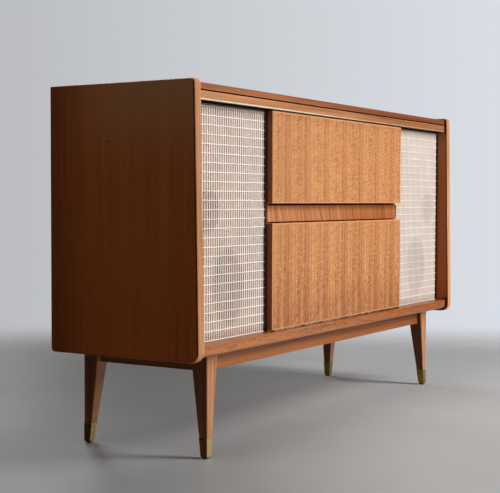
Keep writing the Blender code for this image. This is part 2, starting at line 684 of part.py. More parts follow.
def stay(word, axis_z, side, reach):
    """Slotted arm on the door that runs on a stud in the partition.

    Stud and pivot lie at one distance from the hinge, so the arm turns half as far as the door.
    """
    pivot = Vector((DOOR_BACK + STAY_PIVOT_DEPTH - HINGE_Y, side * reach))
    radius = pivot.length
    lean = atan2(pivot.x, abs(pivot.y))
    stud_angle = lean + radians(STAY_LEAD_DEG)
    stud = Vector((radius * sin(stud_angle), side * radius * cos(stud_angle)))
    shut = (stud - pivot).length
    spread = 2 * radius * sin(radians(STAY_LEAD_DEG + DOOR_TRAVEL_DEG) / 2)
    tilt = atan2(stud.y - pivot.y, stud.x - pivot.x)
    arm_x = PARTITION_IN - STAY_STANDOFF
    arm_out = arm_x + STAY_THICKNESS / 2 + GAP
    arm_in = arm_x - STAY_THICKNESS / 2 - GAP
    slot_half = STUD_RADIUS + RUNNING_GAP
    hinge = Vector((0, HINGE_Y, axis_z))
    pivot_place = hinge + Vector((arm_x, pivot.x, pivot.y))
    stud_place = hinge + Vector((0, stud.x, stud.y))
    eye = 2 * (STAY_PIN_RADIUS + RUNNING_GAP)
    arm = sheet(word + "_stay_arm", [
        slot((0, 0), (spread + slot_half, 0), STAY_HALF_WIDTH, 6),
        oval((0, 0), eye, eye, 12),
        slot((shut, 0), (spread, 0), slot_half, 5),
    ], STAY_THICKNESS, pivot_place, "side", "nickel", tilt)
    wall = PARTITION_IN - GAP
    head = arm_in - STUD_HEAD_THICKNESS
    turned(word + "_stay_stud", [[
        (0.0, wall), (STUD_HEAD, wall), (STUD_HEAD, arm_out), (STUD_RADIUS, arm_out),
        (STUD_RADIUS, arm_in), (STUD_HEAD, arm_in), (STUD_HEAD, head), (0.0, head),
    ]], "nickel", stud_place, "X", 12)
    plate_out = arm_out + BRACKET_THICKNESS
    level = axis_z + pivot.y
    foot = DOOR_BACK + GAP
    back = HINGE_Y + pivot.x + BRACKET_HEIGHT / 4
    bracket = box(word + "_stay_bracket", (arm_out, foot, level - BRACKET_HEIGHT / 2),
                  (plate_out, back, level + BRACKET_HEIGHT / 2), "nickel", origin=hinge)
    join(bracket, box(word + "_bracket_foot", (arm_out - BRACKET_FOOT, foot, level - BRACKET_HEIGHT / 2),
                      (plate_out, foot + BRACKET_THICKNESS / 2, level + BRACKET_HEIGHT / 2), None))
    pin_end = arm_out + BRACKET_THICKNESS / 2
    join(bracket, turned(word + "_bracket_pin", [[
        (0.0, pin_end), (STAY_PIN_RADIUS, pin_end), (STAY_PIN_RADIUS, arm_in),
        (STAY_PIN_HEAD, arm_in), (STAY_PIN_HEAD, head), (0.0, head),
    ]], None, hinge + Vector((0, pivot.x, pivot.y)), "X", 12))
    return bracket, arm


def doors():
    """Upper flap hung at its top edge and lower flap hung at its foot, with hinges and stays."""
    plans = (
        ("upper", UPPER_HINGE_Z, -1, UPPER_STAY_REACH, UPPER_DOOR_LOW, UPPER_DOOR_TOP),
        ("lower", LOWER_HINGE_Z, 1, LOWER_STAY_REACH, LOWER_DOOR_LOW, LOWER_DOOR_TOP),
    )
    for word, axis_z, side, reach, low, high in plans:
        place = (0, HINGE_Y, axis_z)
        flap = box(word + "_door", (-DOOR_HALF, DOOR_FRONT, low), (DOOR_HALF, DOOR_BACK, high),
                   "veneer", DOOR_ARRIS, place)
        leaf = piano_hinge(word, axis_z, side)
        bracket, arm = stay(word, axis_z, side, reach)
        hang_on(word + "_door_axis", place, (flap, leaf, bracket, arm))


def leg_width(z):
    """Width of a leg's square section at a height."""
    return LEG_FOOT_WIDTH + (LEG_TOP_WIDTH - LEG_FOOT_WIDTH) * z / LEG_TOP


def leg_ring(corner, inward, z, inset=0.0):
    """Square section of a leg at a height, with its outer corner upright and its inner faces tapered."""
    width = leg_width(z)
    ring = []
    for along_x, along_y in ((0, 0), (1, 0), (1, 1), (0, 1)):
        u = inset + along_x * (width - 2 * inset)
        v = inset + along_y * (width - 2 * inset)
        ring.append((corner[0] + inward[0] * u, corner[1] + inward[1] * v, z))
    return ring


def leg(word, corner, inward):
    """Tapered leg with its foot let into a brass ferrule that stands on a round glide."""
    shoulder = FERRULE_HEIGHT + GAP
    tenon = FERRULE_WALL + GAP
    floor = GLIDE_HEIGHT + FERRULE_FLOOR
    post = loft(word + "_leg", [
        leg_ring(corner, inward, floor + GAP, tenon),
        leg_ring(corner, inward, shoulder, tenon),
        leg_ring(corner, inward, shoulder),
        leg_ring(corner, inward, LEG_TOP),
    ], "veneer")
    soften_uprights(post)
    cup = loft(word + "_ferrule", [
        leg_ring(corner, inward, floor, FERRULE_WALL),
        leg_ring(corner, inward, FERRULE_HEIGHT, FERRULE_WALL),
        leg_ring(corner, inward, FERRULE_HEIGHT),
        leg_ring(corner, inward, GLIDE_HEIGHT + FERRULE_CHAMFER),
        leg_ring(corner, inward, GLIDE_HEIGHT, FERRULE_CHAMFER / 2),
    ], "brass")
    half = leg_width(0) / 2
    middle = (corner[0] + inward[0] * half, corner[1] + inward[1] * half, 0)
    glide_top = GLIDE_HEIGHT + FERRULE_FLOOR / 2
    join(cup, turned(word + "_glide", [[
        (0.0, glide_top), (GLIDE_RADIUS, glide_top), (GLIDE_RADIUS, 0.0), (0.0, 0.0),
    ]], None, middle, "Z", 12))


def soften_uprights(post):
    """Take the arris off a leg's four long corners, above the ferrule."""
    shape = bmesh.new()
    shape.from_mesh(post.data)
    tall = [e for e in shape.edges if abs(e.verts[0].co.z - e.verts[1].co.z) > 2 * FERRULE_HEIGHT]
    bmesh.ops.bevel(shape, geom=tall, offset=LEG_ARRIS, segments=1, profile=0.5, affect="EDGES")
    shape.to_mesh(post.data)
    shape.free()


def apron_outline(low_half, high_half):
    """Apron between two legs, with its ends cut to the legs' taper."""
    return [Vector((-low_half[0], APRON_LOW)), Vector((low_half[1], APRON_LOW)),
            Vector((high_half[1], LEG_TOP)), Vector((-high_half[0], LEG_TOP))]


def base_frame():
    """Four legs and the four aprons that join them under the bottom board."""
    leg_front = FRONT_FOOT + LEG_FRONT_SETBACK
    leg_back = BACK - LEG_BACK_SETBACK
    for depth, y, inward_y in (("front", leg_front, 1), ("rear", leg_back, -1)):
        for word, side in (("left", -1), ("right", 1)):
            leg(depth + "_" + word, (side * LEG_OUT_X, y), (-side, inward_y))
        low = LEG_OUT_X - leg_width(APRON_LOW) - GAP
        high = LEG_OUT_X - leg_width(LEG_TOP) - GAP
        middle = y + inward_y * (APRON_SETBACK + APRON_THICKNESS / 2)
        sheet(depth + "_apron", [apron_outline((low, low), (high, high))], APRON_THICKNESS,
              (0, middle, 0), "front", "veneer")
    low_ends = (-(leg_front + leg_width(APRON_LOW) + GAP), leg_back - leg_width(APRON_LOW) - GAP)
    high_ends = (-(leg_front + leg_width(LEG_TOP) + GAP), leg_back - leg_width(LEG_TOP) - GAP)
    for word, side in (("left", -1), ("right", 1)):
        middle = side * (LEG_OUT_X - APRON_SETBACK - APRON_THICKNESS / 2)
        sheet(word + "_apron", [apron_outline(low_ends, high_ends)], APRON_THICKNESS,
              (middle, 0, 0), "side", "veneer")


def receiver():
    """Chassis, fascia, dial glass, dial pointer, two knobs and a row of keys."""
    chassis_front = FASCIA_BACK + GAP
    chassis_back = chassis_front + CHASSIS_DEPTH
    chassis_top = FASCIA_LOW + CHASSIS_HEIGHT
    plate_back = chassis_front + CHASSIS_SHEET
    plate_top = FASCIA_TOP - FASCIA_RADIUS
    flange_front = chassis_back - CHASSIS_SHEET
    tray_under = chassis_top - CHASSIS_SHEET
    beam("receiver_chassis", [Vector(corner) for corner in (
        (chassis_front, FASCIA_LOW), (plate_back, FASCIA_LOW), (plate_back, tray_under),
        (flange_front, tray_under), (flange_front, FASCIA_LOW), (chassis_back, FASCIA_LOW),
        (chassis_back, chassis_top), (plate_back, chassis_top), (plate_back, plate_top),
        (chassis_front, plate_top),
    )], FASCIA_HALF - CHASSIS_SIDE_SPACE, "grey_steel")
    window = (DIAL_HALF, DIAL_HEIGHT / 2)
    shaft_hole = 2 * (KNOB_SHAFT + RUNNING_GAP)
    key_z = FASCIA_LOW + KEY_RISE
    key_places = [(index - (KEY_COUNT - 1) / 2) * (KEY_WIDTH + KEY_SPACE) for index in range(KEY_COUNT)]
    outlines = [
        rectangle((-FASCIA_HALF, FASCIA_LOW), (FASCIA_HALF, FASCIA_TOP), FASCIA_RADIUS, 4),
        rectangle((-window[0], DIAL_Z - window[1]), (window[0], DIAL_Z + window[1])),
        oval((-KNOB_X, DIAL_Z), shaft_hole, shaft_hole, 12),
        oval((KNOB_X, DIAL_Z), shaft_hole, shaft_hole, 12),
    ]
    reach_x = KEY_WIDTH / 2 + RUNNING_GAP
    reach_z = KEY_HEIGHT / 2 + RUNNING_GAP
    for x in key_places:
        outlines.append(rectangle((x - reach_x, key_z - reach_z), (x + reach_x, key_z + reach_z)))
    middle = (FASCIA_FRONT + FASCIA_BACK) / 2
    sheet("receiver_fascia", outlines, FASCIA_THICKNESS, (0, middle, 0), "front", "fascia")
    box("dial_glass", (GAP - window[0], FASCIA_FRONT, DIAL_Z + GAP - window[1]),
        (window[0] - GAP, FASCIA_FRONT + GLASS_THICKNESS, DIAL_Z + window[1] - GAP), "dial_glass")
    reach = window[1] - POINTER_MARGIN
    box("dial_pointer", (-POINTER_WIDTH / 2, FASCIA_BACK - POINTER_THICKNESS, DIAL_Z - reach),
        (POINTER_WIDTH / 2, FASCIA_BACK, DIAL_Z + reach), "ivory")
    shaft_end = -FASCIA_THICKNESS - GAP
    for name, side in (("volume_knob", -1), ("tuning_knob", 1)):
        turned(name, [[
            (0.0, KNOB_LENGTH), (0.86 * KNOB_RADIUS, KNOB_LENGTH),
            (0.93 * KNOB_RADIUS, 0.93 * KNOB_LENGTH), (KNOB_RADIUS, 0.0),
            (KNOB_SHAFT, 0.0), (KNOB_SHAFT, shaft_end), (0.0, shaft_end),
        ]], "knob", (side * KNOB_X, FASCIA_FRONT - GAP, DIAL_Z), "front", 24)
    for number, x in enumerate(key_places, 1):
        box("key_%d" % number, (x - KEY_WIDTH / 2, FASCIA_FRONT - KEY_PROUD, key_z - KEY_HEIGHT / 2),
            (x + KEY_WIDTH / 2, FASCIA_FRONT + KEY_TAIL, key_z + KEY_HEIGHT / 2), "ivory", 0.0015)


def record_changer():
    """Plinth, deck with an arm rest, spindle, platter and swinging tone arm."""
    half = DECK_WIDTH / 2
    box("changer_plinth", (PLINTH_INSET - half, DECK_FRONT + PLINTH_INSET, BOTTOM_FACE + GAP),
        (half - PLINTH_INSET, DECK_BACK - PLINTH_INSET, BOTTOM_FACE + GAP + PLINTH_HEIGHT), "inner_board")
    deck = sheet("changer_deck", [rectangle((-half, DECK_FRONT), (half, DECK_BACK), DECK_RADIUS)],
                 DECK_THICKNESS, (0, 0, DECK_UNDER + DECK_THICKNESS / 2), "top", "deck_enamel")
    centre = (-PLATTER_OFFSET, DECK_Y)
    flange_z = SPINDLE_FLANGE_HEIGHT
    turned("spindle", [[
        (0.0, SPINDLE_HEIGHT), (0.6 * SPINDLE_RADIUS, 0.985 * SPINDLE_HEIGHT),
        (SPINDLE_RADIUS, 0.93 * SPINDLE_HEIGHT), (SPINDLE_RADIUS, flange_z),
        (SPINDLE_FLANGE, flange_z), (SPINDLE_FLANGE, 0.0), (0.0, 0.0),
    ]], "nickel", (*centre, DECK_FACE + GAP), "Z", 16)
    bore = SPINDLE_RADIUS + RUNNING_GAP
    mat = PLATTER_HEIGHT - PLATTER_LIP
    rim = PLATTER_RADIUS
    turned("platter", [[
        (bore, mat), (0.94 * rim, mat), (0.955 * rim, PLATTER_HEIGHT), (0.985 * rim, PLATTER_HEIGHT),
        (rim, 0.8 * PLATTER_HEIGHT), (0.985 * rim, 0.0), (bore, 0.0),
    ]], "rubber", (*centre, PLATTER_LOW), "Z", 36, closed=True)
    pivot = Vector((half - ARM_FROM_SIDE, DECK_BACK - ARM_FROM_BACK, DECK_FACE + GAP))
    arm_z = PLATTER_TOP + ARM_CLEARANCE
    rise = arm_z - pivot.z
    tip_y = DECK_FRONT + ARM_TIP_SPACE
    arm = turned("tone_arm", [[
        (0.0, rise + ARM_TUBE), (0.6 * PILLAR_RADIUS, rise + ARM_TUBE),
        (0.75 * PILLAR_RADIUS, rise - ARM_TUBE), (0.75 * PILLAR_RADIUS, 0.35 * rise),
        (PILLAR_RADIUS, 0.25 * rise), (PILLAR_RADIUS, 0.0), (0.0, 0.0),
    ]], "ivory", pivot, "Z", 16)
    tube_back = COUNTERWEIGHT_REACH + COUNTERWEIGHT_LENGTH / 4
    tube_ahead = pivot.y - tip_y - HEADSHELL_LENGTH / 2
    join(arm, turned("tone_arm_tube", [[
        (0.0, tube_ahead), (ARM_TUBE, tube_ahead), (ARM_TUBE, -tube_back), (0.0, -tube_back),
    ]], None, (pivot.x, pivot.y, arm_z), "front", 10))
    weight_front = COUNTERWEIGHT_LENGTH / 2 - COUNTERWEIGHT_REACH
    weight_back = -COUNTERWEIGHT_LENGTH / 2 - COUNTERWEIGHT_REACH
    join(arm, turned("tone_arm_weight", [[
        (0.0, weight_front), (COUNTERWEIGHT_RADIUS, weight_front),
        (COUNTERWEIGHT_RADIUS, weight_back), (0.0, weight_back),
    ]], None, (pivot.x, pivot.y, arm_z), "front", 16))
    shell_low = arm_z - 0.6 * HEADSHELL_HEIGHT
    shell_top = shell_low + HEADSHELL_HEIGHT
    join(arm, box("tone_arm_shell", (pivot.x - HEADSHELL_WIDTH / 2, tip_y, shell_low),
                  (pivot.x + HEADSHELL_WIDTH / 2, tip_y + HEADSHELL_LENGTH, shell_top), None))
    rest_top = arm_z - ARM_TUBE - RUNNING_GAP - pivot.z
    rest_y = tip_y + HEADSHELL_LENGTH + ARM_TIP_SPACE
    rest_foot = -DECK_THICKNESS / 2
    join(deck, turned("arm_rest", [[
        (0.0, rest_top), (ARM_TUBE, rest_top), (1.5 * ARM_TUBE, rest_foot), (0.0, rest_foot),
    ]], None, (pivot.x, rest_y, pivot.z), "Z", 12))


side_panels()
boards()
inner_boards()
back_panel()
speaker_bays()
doors()
base_frame()
receiver()
record_changer()
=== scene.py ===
"""The looks of a stereo console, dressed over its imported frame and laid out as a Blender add-on."""

import math

import bmesh
import bpy
from bpy.props import FloatProperty, FloatVectorProperty, IntProperty, PointerProperty
from bpy.types import NodeSocket, Operator, Panel, PropertyGroup
from mathutils import Matrix, Vector


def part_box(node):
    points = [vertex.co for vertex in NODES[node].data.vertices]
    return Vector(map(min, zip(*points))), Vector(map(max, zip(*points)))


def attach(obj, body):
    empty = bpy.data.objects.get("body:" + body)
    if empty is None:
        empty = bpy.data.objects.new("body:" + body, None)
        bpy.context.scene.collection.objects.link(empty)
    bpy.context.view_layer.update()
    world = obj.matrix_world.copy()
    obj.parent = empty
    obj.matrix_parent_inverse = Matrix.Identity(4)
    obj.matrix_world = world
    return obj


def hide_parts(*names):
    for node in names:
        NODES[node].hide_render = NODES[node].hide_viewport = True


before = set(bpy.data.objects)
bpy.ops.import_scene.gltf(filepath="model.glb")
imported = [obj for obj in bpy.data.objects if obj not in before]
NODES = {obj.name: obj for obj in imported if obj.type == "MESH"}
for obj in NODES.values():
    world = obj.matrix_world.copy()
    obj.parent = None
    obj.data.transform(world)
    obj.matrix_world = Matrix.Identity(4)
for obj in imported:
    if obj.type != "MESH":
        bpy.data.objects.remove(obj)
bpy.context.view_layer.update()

bl_info = {
    "name": "Stereo Console",
    "version": (1, 0, 0),
    "blender": (4, 5, 0),
    "location": "3D View > Sidebar > Console",
    "description": "Veneers, woven grilles, fittings and studio of a low stereo console",
    "category": "Object",
}

SIDES = ("left", "right")
LACQUER = {"Coat Weight": 0.08, "Coat Roughness": 0.25, "Specular IOR Level": 0.28}
SATIN = {"Coat Weight": 0.03, "Coat Roughness": 0.25, "Specular IOR Level": 0.18}
MOULDED = {"Specular IOR Level": 0.5}
METAL = {"Metallic": 1.0}
PLAIN = (1.0, 1.0, 1.0)

# Places and sizes that no box of a node gives, in metres. A pair is where a change starts and where it ends.
PANEL_FOOT = -0.198  # front of a side panel at its foot
PANEL_LEAN = 0.0104  # how far a panel's front leans back on its way up
PANEL_BEND = (0.40, 0.60)  # height at which the wide bend of a panel's foot gives way to that of its head
PANEL_SHADE_FRONT = (-0.1770, -0.1815)  # painted shade on the inner front of a panel
PANEL_SHADE_HEAD, PANEL_SHADE_FOOT = (0.755, 0.770), (0.268, 0.254)  # painted shade in the corners of that front, at the head and the foot
LINE_BLUR = 0.0002  # half the softness of a line between two woods
TOP_FRONT = -0.1745  # where the top board's front edge starts
BEFORE_CLOTH = (-0.155, -0.1575)  # depth at which the painted shadow lines of rail and top start
GROOVE_HEAD = (0.7886, 0.7881)  # painted shadow line at the foot of the top board
GROOVE_FOOT = (0.7850, 0.7855)  # painted shadow line at the head of the rail
RAIL_FOOT = (0.7672, 0.7667)  # painted shadow under the rail
CLOTH_SHADE = (0.7515, 0.7630)  # painted shadow on the cloth under the rail
PULL_SHADE = (0.527, 0.542)  # painted shadow of the upper door on the head of the pull strip
DOOR_EDGE_SHADOW = (-0.1655, -0.1600)  # painted shadow at the back of a door's upright edges
DOOR_LEAVES_LEFT = 4.0  # leaves up to the middle of a door, the first one cut
VEIN = 0.63  # place of the dark vein, as a share of a leaf
RUNG_PITCH = 0.0072  # spacing of the slanting rungs in the ribbon figure
KNOTS = (  # depth and height, half sizes and strength of each mark on the left panel
    ((0.039, 0.6816), (0.0075, 0.0024), 1.0),
    ((0.0227, 0.7003), (0.006, 0.002), 0.5),
    ((-0.1634, 0.7341), (0.012, 0.0016), 0.4),
    ((-0.1459, 0.7203), (0.010, 0.0016), 0.35),
)
OPENINGS = (  # place and half sizes of the loudspeakers' openings on the right
    ((0.521, 0.366), (0.065, 0.085)),
    ((0.605, 0.535), (0.048, 0.048)),
)
PIN_HEIGHT = 0.0352  # height of a ferrule's pin
FERRULE_FOOT = (0.016, 0.0048)  # depth and height of a ferrule's inner foot
LEG_LEAN = 27.0 / 222.4  # how far a leg leans for its height
GLIDE_HEAD = (0.0034, 0.0028)  # where brass gives way to the black glide
DECK_FACE = 0.3176  # height of the changer's deck
ARM_PIVOT = 0.1112  # depth of the tone arm's pillar
ARM_LIFT, ARM_HEAD = 0.3445, 0.3413  # heights of the finger lift and of the head's underside
SCALES = (  # plain numbers on the dial
    ("88", "92", "96", "100", "104", "108"),
    ("55", "60", "70", "80", "100", "120", "140", "160"),
)
SENSOR_WIDTH = 36.0  # in millimetres


def tint(name, description, default):
    """A colour that a user may change."""
    return FloatVectorProperty(name=name, description=description, subtype="COLOR", size=3, min=0.0, max=1.0,
                               default=default)


def span(name, description, default):
    """A length that a user may change."""
    return FloatProperty(name=name, description=description, subtype="DISTANCE", unit="LENGTH", min=0.0,
                         default=default)


def angle(name, description, degrees):
    """An angle that a user may change."""
    return FloatProperty(name=name, description=description, subtype="ANGLE", unit="ROTATION",
                         default=math.radians(degrees))


def power(name, description, default):
    """A light's power that a user may change."""
    return FloatProperty(name=name, description=description, unit="POWER", min=0.0, default=default)


class ConsoleWood(PropertyGroup):
    """Veneers, lippings and plain boards."""

    door_light: tint("Door light", "Pale ribbons of the door veneer", (0.74, 0.375, 0.155))
    door_middle: tint("Door middle", "Ground colour of the door veneer", (0.525, 0.225, 0.086))
    door_dark: tint("Door dark", "Dark lines of the door veneer", (0.25, 0.083, 0.024))
    # painted shade: the side veneer is a darker wood, made darker and redder still as the left panel's shade; both
    # panels take it
    side_light: tint("Side light", "Pale streaks of the side veneer", (0.45, 0.128, 0.024))
    side_middle: tint("Side middle", "Ground colour of the side veneer", (0.335, 0.078, 0.009))
    side_dark: tint("Side dark", "Dark streaks of the side veneer", (0.16, 0.035, 0.004))
    # painted sheen: a pale haze painted high on a side panel in place of the lacquer's reflection
    side_painted_sheen: tint("Side bloom", "Haze in the lacquer high on a side panel", (0.36, 0.19, 0.085))
    rail_light: tint("Rail light", "Pale grain of rails, legs and lippings", (0.62, 0.305, 0.135))
    rail_middle: tint("Rail middle", "Ground colour of rails, legs and lippings", (0.455, 0.195, 0.078))
    rail_dark: tint("Rail dark", "Dark grain of rails, legs and lippings", (0.24, 0.086, 0.029))
    # painted shade: a dark copy of the lipping wood for the doors' upright edges
    edge: tint("Door edge", "Stained upright edges of the doors", (0.31, 0.056, 0.004))
    board_light: tint("Board light", "Pale grain of the stained inner boards", (0.30, 0.17, 0.085))
    board_dark: tint("Board dark", "Dark grain of the stained inner boards", (0.13, 0.065, 0.03))
    leaf_width: span("Leaf width", "Width of one leaf of the slip-matched door veneer", 0.0989)
    lipping: span("Lipping", "Width of the solid edge round a door", 0.0035)
    panel_lipping: span("Panel lipping", "Depth of the solid edge on a side panel's front", 0.0016)


class ConsoleCloth(PropertyGroup):
    """The two woven grilles."""

    cord: tint("Cord", "Raised horizontal cords", (0.92, 0.90, 0.87))
    thread: tint("Thread", "Upright flat threads", (0.89, 0.79, 0.70))
    ground: tint("Ground", "Fine weave between the threads", (0.34, 0.18, 0.115))
    gap: tint("Gap", "Dark of the open weave", (0.17, 0.085, 0.055))
    # a pale cream that the right cloth's colours are mixed towards, which lowers their contrast
    pale_cream: tint("Bleached", "What the cloth fades to", (0.57, 0.51, 0.452))
    # painted shadow: near-black felt strips where the rail and the side panel shade the cloth
    shadow_strip: tint("Binding", "Felt tape along the rail and the side panel", (0.006, 0.0045, 0.0035))
    # share of that mix on the right cloth
    right_tone_shift: FloatProperty(name="Right fade", description="How far the right cloth has faded",
                              subtype="FACTOR", min=0.0, max=1.0, default=0.40)
    cord_pitch: span("Cord pitch", "Spacing of the horizontal cords", 0.02013)
    cord_radius: span("Cord radius", "Half the thickness of a cord", 0.00125)
    thread_pitch: span("Thread pitch", "Spacing of the upright threads", 0.0090)
    thread_width: span("Thread width", "Width of an upright thread", 0.0046)


class ConsoleMetal(PropertyGroup):
    """Ferrules, hinges, stays and screws."""

    brass: tint("Brass", "Polished places of the ferrules", (0.86, 0.68, 0.29))
    patina: tint("Patina", "Dulled places of the ferrules", (0.55, 0.41, 0.16))
    nickel: tint("Nickel", "Hinges, stays and screws", (0.80, 0.79, 0.76))
    browned: tint("Browned", "Aged places of the hinges", (0.085, 0.068, 0.055))
    steel: tint("Steel", "Sheet of the receiver chassis", (0.36, 0.36, 0.35))
    screw_radius: span("Screw radius", "Head of a back panel screw", 0.0036)


class ConsoleInside(PropertyGroup):
    """Receiver, record changer and loudspeakers."""

    fascia: tint("Fascia", "Moulded front of the receiver", (0.075, 0.045, 0.028))
    ivory: tint("Ivory", "Keys, tone arm and dial figures", (0.78, 0.69, 0.50))
    knob: tint("Knob", "Moulded knobs", (0.11, 0.055, 0.03))
    dial: tint("Dial", "Printed plate behind the dial glass", (0.035, 0.045, 0.04))
    enamel: tint("Enamel", "Deck of the record changer", (0.60, 0.55, 0.44))
    rubber: tint("Rubber", "Mat, platter rim and lead bush", (0.028, 0.027, 0.026))
    card: tint("Card", "Loudspeaker cones and frames", (0.04, 0.036, 0.032))
    mat_ribs: IntProperty(name="Mat ribs", description="Rings on the platter mat", min=2, max=24, default=9)
    knob_flutes: IntProperty(name="Knob flutes", description="Ridges round each knob", min=8, max=60, default=28)


class ConsoleStage(PropertyGroup):
    """Floor, light and camera."""

    floor: tint("Floor", "Pale floor", (0.47, 0.47, 0.47))
    wall: tint("Wall", "Backdrop that the camera sees", (0.70, 0.73, 0.775))
    wall_shade: tint("Wall shade", "Backdrop on the left", (0.50, 0.51, 0.535))
    shade_turn: angle("Shade turn", "Turn of the room's shade from the back wall to the right", 58.818)
    key_power: power("Key power", "Soft light before the right front", 194.0)
    fill_power: power("Fill power", "Weak light on the shaded sides", 34.0)
    ambient: FloatProperty(name="Ambient", description="Light from all round", min=0.0, max=4.0, default=0.045)
    lens: FloatProperty(name="Lens", description="Focal length on a 36 mm wide sensor, in millimetres",
                        min=10.0, max=300.0, default=83.815)
    stand: FloatVectorProperty(name="Stand", description="Where the camera stands", subtype="TRANSLATION",
                               unit="LENGTH", size=3, default=(-2.68239, -1.51977, 0.55829))
    heading: angle("Heading", "Turn of the camera from the back wall to the right", 58.818)
    tilt: angle("Tilt", "Camera tilt below level", 2.294)
    roll: angle("Roll", "Camera roll", 0.1334)


class Mixer:
    """Adds nodes to a tree: each call adds what it needs and hands back an outlet."""

    def __init__(self, tree):
        self.nodes, self.links = tree.nodes, tree.links

    def feed(self, inlet, value):
        """Joins an outlet to an inlet or sets a value there; None leaves the inlet alone."""
        if isinstance(value, NodeSocket):
            self.links.new(value, inlet)
        elif value is not None:
            inlet.default_value = value

    def add(self, kind, *feeds, outlet=0, **options):
        """Adds a node, sets its options and feeds its inlets in order."""
        node = self.nodes.new("ShaderNode" + kind)
        for option, value in options.items():
            setattr(node, option, value)
        for inlet, value in zip(node.inputs, feeds):
            self.feed(inlet, value)
        return node.outputs[outlet]

    def maths(self, operation, *values):
        """One operation on one or two values."""
        return self.add("Math", *values, operation=operation)

    def minus(self, value, less):
        """A value less another."""
        return self.maths("SUBTRACT", value, less)

    def times(self, value, *others):
        """The product of all values."""
        for other in others:
            value = self.maths("MULTIPLY", value, other)
        return value

    def apart(self, place, spot):
        """How far a place lies from a spot along one axis."""
        return self.maths("ABSOLUTE", self.minus(place, spot))

    def total(self, start, *parts):
        """start plus each (value, weight) of parts."""
        for value, weight in parts:
            start = self.maths("MULTIPLY_ADD", value, weight, start)
        return start

    def ease(self, value, low, high, to_low=0.0, to_high=1.0):
        """A soft step from one value to another while a value goes from low to high."""
        return self.add("MapRange", value, low, high, to_low, to_high, interpolation_type="SMOOTHSTEP")

    def blend(self, share, first, second, way="MIX"):
        """A share of the second colour over the first."""
        node = self.nodes.new("ShaderNodeMix")
        node.data_type, node.blend_type = "RGBA", way
        self.feed(node.inputs[0], share)
        for inlet, value in ((6, first), (7, second)):
            self.feed(node.inputs[inlet], value if isinstance(value, NodeSocket) else (*value, 1.0))
        return node.outputs[2]

    def dye(self, colour, dip, share=1.0):
        """Multiplies a colour by a dip."""
        return self.blend(share, colour, dip, "MULTIPLY")

    def drift(self, colour, place, start, stop, first, last, share=1.0):
        """Multiplies a colour by one dip before a start and by another after a stop."""
        return self.dye(colour, self.blend(self.ease(place, start, stop), first, last), share)

    def tones(self, value, *stops):
        """A colour for each place on a scale from 0 to 1."""
        node = self.nodes.new("ShaderNodeValToRGB")
        marks = node.color_ramp.elements
        for position, _ in stops[1:-1]:
            marks.new(position)
        for mark, (position, shade) in zip(marks, stops):
            mark.position, mark.color = position, (*shade, 1.0)
        self.feed(node.inputs[0], value)
        return node.outputs[0]

    def mottle(self, value, shade, *stops):
        """One shade, deepened or paled by a factor at each place on a scale from 0 to 1."""
        return self.tones(value, *((position, scaled(shade, factor)) for position, factor in stops))


class Finish(Mixer):
    """A node material in the making, which reads its object's own coordinates."""

    def __init__(self, name, sockets):
        self.material = bpy.data.materials.new(name)
        self.material.use_nodes = True
        super().__init__(self.material.node_tree)
        self.shader = self.nodes["Principled BSDF"]
        for socket, value in sockets.items():
            self.shader.inputs[socket].default_value = value
        self.place = self.add("TexCoord", outlet="Object")
        self.x, self.y, self.z = (self.add("SeparateXYZ", self.place, outlet=axis) for axis in "XYZ")

    def noise(self, scales, detail=2.0, roughness=0.5, distortion=0.0, at=None):
        """Noise about 0.5, with one scale or a scale for each axis."""
        if isinstance(scales, float):
            scales = (scales, scales, scales)
        spot = self.add("Mapping", self.place if at is None else at, None, None, scales)
        return self.add("TexNoise", spot, None, 1.0, detail, roughness, None, None, None, distortion)

    def surface(self, colour, roughness, height=None, depth=0.0001):
        """Joins colour, roughness and relief to the shader and hands back the material."""
        self.feed(self.shader.inputs["Base Color"], colour)
        self.feed(self.shader.inputs["Roughness"], roughness)
        if height is not None:
            bump = self.nodes.new("ShaderNodeBump")
            bump.inputs["Distance"].default_value = depth
            self.feed(bump.inputs["Height"], height)
            self.feed(self.shader.inputs["Normal"], bump.outputs[0])
        return self.material


def scaled(shade, factor):
    """A deeper or a paler shade."""
    return [min(1.0, channel * factor) for channel in shade]


def stain(shades, strength):
    """Deepens a set of shades, channel by channel."""
    return [[channel * share for channel, share in zip(shade, strength)] for shade in shades]


def rail_shades(wood):
    """Light, middle and dark of rails, legs and lippings."""
    return wood.rail_light, wood.rail_middle, wood.rail_dark


def board_shades(wood):
    """Light, middle and dark of the inner boards."""
    middle = [(light + dark) / 2 for light, dark in zip(wood.board_light, wood.board_dark)]
    return wood.board_light, middle, wood.board_dark


def run(along, across, length):
    """Pattern scales that stretch it along one axis."""
    return tuple(length if axis == along else across for axis in "XYZ")


def within(f, place, near, far):
    """How far a place lies inside the nearer end of a span."""
    return f.minus((far - near) / 2, f.apart(place, (near + far) / 2))


def inside_of(f, node):
    """How deep a place lies under the nearest edge of a node's box."""
    first, second, third = (within(f, *ends) for ends in zip((f.x, f.y, f.z), *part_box(node)))
    lesser, greater = f.maths("MINIMUM", first, second), f.maths("MAXIMUM", first, second)
    return f.maths("MAXIMUM", lesser, f.maths("MINIMUM", greater, third))


def oval(f, places, middle, halves):
    """Squared distance from the middle of an oval, which is 1 on its outline."""
    across, upward = (f.maths("DIVIDE", f.minus(place, spot), half)
                      for place, spot, half in zip(places, middle, halves))
    return f.total(f.times(across, across), (f.times(upward, upward), 1.0))


def sideways(f):
    """1 on faces that look left or right."""
    across = f.maths("ABSOLUTE", f.add("SeparateXYZ", f.add("NewGeometry", outlet="Normal")))
    return f.ease(across, 0.6, 0.85)


